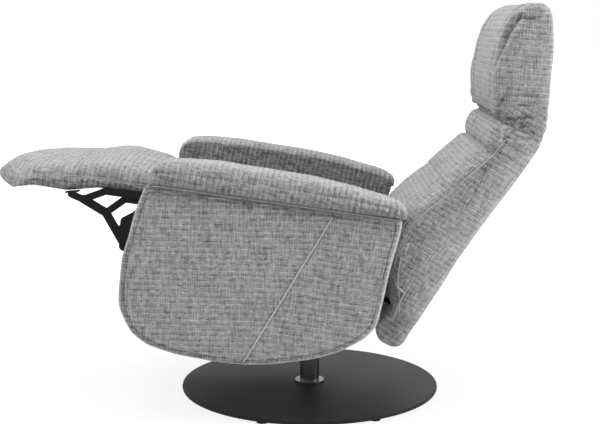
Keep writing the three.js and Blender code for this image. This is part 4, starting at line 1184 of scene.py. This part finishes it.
backPipings = {
    # forward: how far the line stands before the side seam, between two heights. Each tone is a painted
    # highlight on the cord
    "backSeam": {
        "forward": -0.0165, "from": 0.03, "to": 0.58,
        "x": 0.2615, "points": 90, "lift": 0.0004, "radius": 0.0015, "tone": 0.16,
    },
    "backWelt": {
        "forward": 0.001, "from": 0.06, "to": 0.495,
        "x": 0.26, "points": 80, "lift": 0.0003, "radius": 0.0015, "tone": 0.14,
    },
    "footWelt": {
        "line": [(-0.121, 0.112), (-0.0893, 0.0931), (-0.0702, 0.0905), (-0.0653, 0.0444), (-0.0574, 0.0017)],
        "x": 0.258, "points": 50, "lift": 0.0006, "radius": 0.0023, "tone": 0.22,
    },
}


def addBackPiping(label, name, side, v, surface):
    # Along its own line, or along the side seam
    line = v.get("line") or [(-d - v["forward"], up) for up, d, _ in backRows if v["from"] < up < v["to"]]
    sidePiping(label + name, "backrest", side, line, v, surface)


coverGrid = addBackCover(backCover)
padGridFront = addBackPad(backPad)
addNeckRoll(neckRoll)
for name, side in sides:
    for label, values in backPipings.items():
        addBackPiping(label, name, side, values, padGridFront if label == "backWelt" else coverGrid)
print("back made")

# Head: middle pad and wings. Their outlines are shares of its length and depth

head = {
    "foot": 0.01, "length": 0.294, "behind": 0.055, "depth": 0.144,
}
headPad = {
    "shares": [
        (0.058, 0), (0.6, 0), (0.82, 0.02), (0.92, 0.05), (0.965, 0.1), (0.99, 0.18), (1, 0.3),
        (0.998, 0.42), (0.982, 0.53), (0.94, 0.64), (0.88, 0.755), (0.77, 0.88), (0.63, 0.952),
        (0.48, 0.99), (0.34, 0.998), (0.2, 0.974), (0.11, 0.95), (0.03, 0.905),
    ],
    "even": (180, 0.004), "middle": [(0.0, 0.08), (-0.02, 0.22)],
    "half": 0.1745, "edge": 0.008, "counts": (44, 5, 8),
    "slack": 0.004, "held": 0.035, "cap": 0.004,
    # The front's tone is a painted highlight on the head's front face
    "marks": {
        "front": (0.05, 0, 0.05), "wave": (0.12, 0.002, 0),
    },
}


def headOf(v):
    # Rings of a pad from its shares: depth forward of the head's rear, length up from its foot
    ahead = [head["behind"] - depth * head["depth"] for _, depth in v["shares"]]
    up = [head["foot"] + length * head["length"] for length, _ in v["shares"]]
    return padOf(dict(v, loop=np.column_stack([ahead, up])))


def addHeadPad(v):
    # Closed across its width, drawn in, swollen and waved in front, with a painted highlight on its front
    grid = headOf(v)
    grid = pushed(grid, np.full(grid.shape[:2], -v["slack"]))
    grid = swollen("headPad", grid, grid[..., 2] < v["held"], v["cap"])
    w = widths(v)
    front = ramp(-grid[..., 1], 0.0, w["front"])
    rise, tone = marked(v, front=front, wave=front * ripple(grid, 71, w["wave"]))
    clothPiece("headPad", pushed(grid, rise), "headCloth", tone, "headrest", "head_cushion", soft=0.75)


headWing = {
    "shares": [
        (0.058, 0), (0.5, 0.008), (0.68, 0.03), (0.8, 0.06), (0.88, 0.09), (0.93, 0.14), (0.962, 0.21),
        (0.977, 0.31), (0.974, 0.42), (0.956, 0.52), (0.918, 0.635), (0.864, 0.748), (0.759, 0.872),
        (0.622, 0.948), (0.473, 0.985), (0.34, 0.998), (0.204, 0.974), (0.11, 0.952), (0.03, 0.915),
    ],
    "even": (240, 0.004), "middle": [(0.01, 0.09), (-0.03, 0.2)],
    "half": 0.043, "edge": 0.02, "bulge": 0.003, "counts": (10, 12, 40),
    "hollow": [
        # behind the front edge: height, then how far forward its rear and front lips stand
        (0.118, 0.0885, 0.0905), (0.1401, 0.085, 0.0965), (0.1624, 0.0775, 0.096), (0.1956, 0.064, 0.091),
        (0.2168, 0.054, 0.085), (0.2473, 0.037, 0.0735), (0.26, 0.031, 0.061), (0.274, 0.0325, 0.043),
    ],
    "hollowEnds": ((0.12, 0.15), (-0.276, -0.262)),
    "hollowLips": (0.22, 0.34),
    "lipEnds": ((0.1, 0.14), (-0.27, -0.255)),
    "lipBehind": 0.004,
    "slit": [(-0.05, 0.2562), (-0.004, 0.258)],
    "creases": [
        ([(-0.078, 0.03), (-0.055, 0.07), (-0.045, 0.095)], 0.007, 1.0),
        ([(-0.05, 0.022), (-0.02, 0.045), (0.01, 0.05)], 0.006, 0.9),
        ([(-0.07, 0.02), (-0.035, 0.035), (-0.005, 0.022)], 0.005, 0.9),
        ([(-0.035, 0.06), (-0.01, 0.075), (0.02, 0.07)], 0.006, 0.6),
    ],
    "crumpled": (-0.1, -0.02), "stretch": [1, 0.5, 1.6],
    "outerFrom": 0.2,  # share of the half width
    # The hollow's painted shade grows with its width
    "sizePowers": (0.7, 0.4),  # how the hollow's depth and its darkness grow with its width
    "frontFrom": (0.04, 0.08),
    # Tones: painted shade in the hollow, the slit and the creases, a painted highlight on the lip, and
    # painted light and shade across the crumples
    "marks": {
        "deep": (0.024, -0.017, 0), "dark": (0.024, 0, -0.46), "slit": (0.0032, -0.006, -0.4),
        "lip": (0.0035, 0.0022, 0.12), "fold": (0, -0.007, -0.3), "crumple": (0.04, 0.0045, 0.14),
        "wave": (0.1, 0.0018, 0), "front": (0, -0.002, 0),
    },
}


def addWing(name, side, v):
    # Closed across its width. The outer face has a hollow between two lips, a slit at the top and creases,
    # with painted shade in the hollow, slit and creases and a painted highlight on the lip
    grid = headOf(v)
    plane = grid[..., 1:]
    front, up = -plane[..., 0], plane[..., 1]
    outer = grid[..., 0] > v["outerFrom"] * v["half"]
    rear, fore = (rowed(up, v["hollow"], column) for column in (1, 2))
    share = np.clip((front - rear) / (fore - rear), 0, 1)
    (low, start), (high, end) = v["hollowEnds"]
    rearLip, foreLip = v["hollowLips"]
    within = ramp(up, low, start) * ramp(-up, high, end)
    within = ramp(share, 0, rearLip) * ramp(1 - share, 0, foreLip) * within
    w = widths(v)
    size = np.clip((fore - rear) / w["deep"], 0, 1)
    deepPower, darkPower = v["sizePowers"]
    gap, _ = nearestOn(plane, v["slit"])
    (low, start), (high, end) = v["lipEnds"]
    lip = bell(front - rear + v["lipBehind"], w["lip"]) * ramp(up, low, start) * ramp(-up, high, end)
    rise, tone = marked(
        v,
        deep=within * size**deepPower * outer,
        dark=within * size**darkPower * outer,
        slit=bell(gap, w["slit"]) * outer,
        lip=lip * outer,
        fold=creased(plane, v["creases"]) * outer,
        crumple=ramp(-up, *v["crumpled"]) * ripple(grid * v["stretch"], 81, w["crumple"]),
        wave=ripple(grid, 82, w["wave"]),
        front=ramp(front, *v["frontFrom"]),
    )
    grid = aside(pushed(grid, rise), side, headPad["half"] + v["half"])
    node = f"head_wing_{name.lower()}"
    clothPiece(f"headWing{name}", grid, "headCloth", tone, "headrest", node, soft=0.7)


addHeadPad(headPad)
for name, side in sides:
    addWing(name, side, headWing)
print("head made")

# Neck sleeve: crumpled cloth from the back's top round the hinge and up under the head

neckSleeve = {
    "half": 0.2615,
    "back": (0.0205, -0.077, 0.555),
    "head": (0.053, -0.068, 0.046),
    "narrow": 0.992,
    "even": (320, 0.01),
    "rise": 0.055, "rings": 34,
    "flank": (0.03, 0.012),
    "creases": [
        ([(-0.118, 0.564), (-0.08, 0.574), (-0.048, 0.601)], 0.005, 1.0),
        ([(-0.105, 0.553), (-0.06, 0.569), (-0.018, 0.5904)], 0.005, 1.0),
        ([(-0.076, 0.594), (-0.048, 0.618), (-0.025, 0.628)], 0.0055, 0.9),
        ([(-0.056, 0.58), (-0.026, 0.608)], 0.0045, 0.7),
        ([(-0.095, 0.578), (-0.08, 0.598)], 0.005, 0.9),
        ([(-0.04, 0.564), (-0.002, 0.576)], 0.0045, 0.5),
    ],
    "waves": (3.2, 1.5, 0.6),  # waves along the sleeve, how far they sway, and what its sides take off them
    "fade": 0.7, "stretch": [1, 0.6, 1.5],
    "lids": ((0, 0.0), (0, 0.5), (-1, 0.5), (-1, 0.0)),  # ring, and its size as a share
    # Tones: painted light and shade across the waves and crumples, and painted shade in the creases
    "marks": {
        "all": (0, 0.0022, 0), "wave": (0.11, 0.0028, 0.08), "crumple": (0.035, 0.004, 0.2),
        "fold": (0, -0.008, -0.4),
    },
    "blend": [[0, -0.04, 0.585], [0, -0.04, 0.64]],
}


def addNeckSleeve(v):
    # Rings that run by a three-point curve from an outline at the back's top to one inside the head's foot:
    # start (1 - t)^2 + 2 bend t (1 - t) + end t^2
    rear, front, low = v["back"]
    headRear, headFront, headUp = v["head"]
    half, count = v["half"], v["even"][0]
    outline = evenLoop([(-half, rear), (half, rear), (half, front), (-half, front)], *v["even"])
    start = np.column_stack([outline, np.full(count, low)])
    share = (outline[:, 1] - front) / (rear - front)
    y = headFront + share * (headRear - headFront)
    end = np.column_stack([outline[:, 0] * v["narrow"], y, np.full(count, headUp)])
    up = [0, 0, v["rise"]]
    end, below = (onHinge(points) for points in (end, end - up))
    t = np.linspace(0, 1, v["rings"])[:, None, None]
    grid = start * (1 - t) ** 2 + (start + up + below) * t * (1 - t) + end * t**2
    body = np.sin(np.pi * t[..., 0]) ** v["fade"]
    flank = ramp(np.abs(grid[..., 0]), *(half - inset for inset in v["flank"]))
    w = widths(v)
    waves, sway, calm = v["waves"]
    wave = np.sin(2 * np.pi * (t[..., 0] * waves + sway * ripple(grid, 91, w["wave"])))
    # The tone paints light and shade on the waves and crumples and shade in the creases
    rise, tone = marked(
        v,
        all=1,
        wave=wave * (1 - calm * flank),
        crumple=ripple(grid * v["stretch"], 92, w["crumple"]),
        fold=creased(grid[..., 1:], v["creases"]) * flank,
    )
    around = grid.mean(1, keepdims=True)
    caps = [around[k] + (grid[k] - around[k]) * size for k, size in v["lids"]]
    full = np.concatenate([caps[:2], pushed(grid, body * rise), caps[2:]])
    piece = meshPiece("neckSleeve", inBack(full), "foldCloth", np.pad(body * tone, ((2, 2), (0, 0))))
    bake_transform(piece)


addNeckSleeve(neckSleeve)
print("neck sleeve made")

# Floor and light

studio = {
    "lamps": [
        # name, place, aimed at, size, watts
        ("topLamp", (0.3, -0.4, 3.2), (0, 0, 0.5), 2.6, 62),
        ("sideLamp", (3.2, -1.4, 1.9), (0, 0, 0.5), 1.8, 16),
        ("rearLamp", (0.8, 3.0, 1.8), (0, 0.2, 0.6), 1.6, 74),
        ("farLamp", (-3.0, 0.0, 2.2), (0, 0, 0.5), 2.0, 25),
        ("footLamp", (0.6, -3.0, 1.6), (0, -0.3, 0.5), 1.8, 21),
    ],
    "world": 0.24,
    "floorRings": [0.001, 1, 3, 9, 40],
    "floorSides": 64,
    "floor": {"Base Color": (0.72, 0.72, 0.72, 1), "Roughness": 0.9},
    "floorGlow": 0.78,
    "glow": (1.02, 0.22, 0.6),  # at the middle, more with each metre, and at most
}


def seenShare(tree):
    # 1 for rays from the camera, from gloss and through glass
    seen = newNode(tree, "LightPath").outputs
    either = nodeMath(tree, "MAXIMUM", seen["Is Camera Ray"], seen["Is Glossy Ray"])
    return nodeMath(tree, "MAXIMUM", either, seen["Is Transmission Ray"])


def addStudio(v):
    # Square lamps turned to what they light, and a world that is white where it is seen and dim elsewhere
    for name, place, target, size, power in v["lamps"]:
        data = bpy.data.lights.new(name, "AREA")
        data.energy = power
        data.size = size
        turn = (Vector(place) - Vector(target)).to_track_quat("Z", "Y").to_matrix().to_4x4()
        placed(name, data).matrix_world = Matrix.Translation(place) @ turn
    world = bpy.data.worlds.new("studio")
    bpy.context.scene.world = world
    world.use_nodes = True
    tree = world.node_tree
    back = tree.nodes["Background"].inputs
    back["Color"].default_value = (1, 1, 1, 1)
    feed(tree, back["Strength"], nodeMath(tree, "MULTIPLY_ADD", seenShare(tree), 1 - v["world"], v["world"]))


def addFloor(v):
    # A disc of pale floor: part of its light is its own where the camera sees it, more so far away, so that
    # it meets the white background and the shadow stays soft
    angle = np.linspace(0, 2 * np.pi, v["floorSides"], endpoint=False)
    radius = np.array(v["floorRings"])[:, None]
    grid = np.stack([radius * np.cos(angle), radius * np.sin(angle), 0 * radius * angle], axis=-1)
    mesh = bpy.data.meshes.new("paleFloor")
    mesh.from_pydata(grid.reshape(-1, 3).tolist(), [], ringFaces(*grid.shape[:2])[:, ::-1].tolist())
    material, tree, _, spot = newMaterial("paleFloor", v["floor"])
    least, more, most = v["glow"]
    away = newNode(tree, "VectorMath", {0: spot["Object"]}, operation="LENGTH").outputs["Value"]
    farther = nodeMath(tree, "MINIMUM", nodeMath(tree, "MULTIPLY", away, more), most)
    glow = newNode(tree, "Emission", {"Strength": nodeMath(tree, "ADD", farther, least)}).outputs[0]
    share = nodeMath(tree, "MULTIPLY", seenShare(tree), v["floorGlow"])
    shaders = {0: share, 1: tree.nodes["Principled BSDF"].outputs[0], 2: glow}
    mixed = newNode(tree, "MixShader", shaders).outputs[0]
    tree.links.new(mixed, tree.nodes["Material Output"].inputs["Surface"])
    mesh.materials.append(material)
    placed("paleFloor", mesh)


addStudio(studio)
addFloor(studio)
bpy.context.scene.view_settings.view_transform = "Standard"
print("studio made")
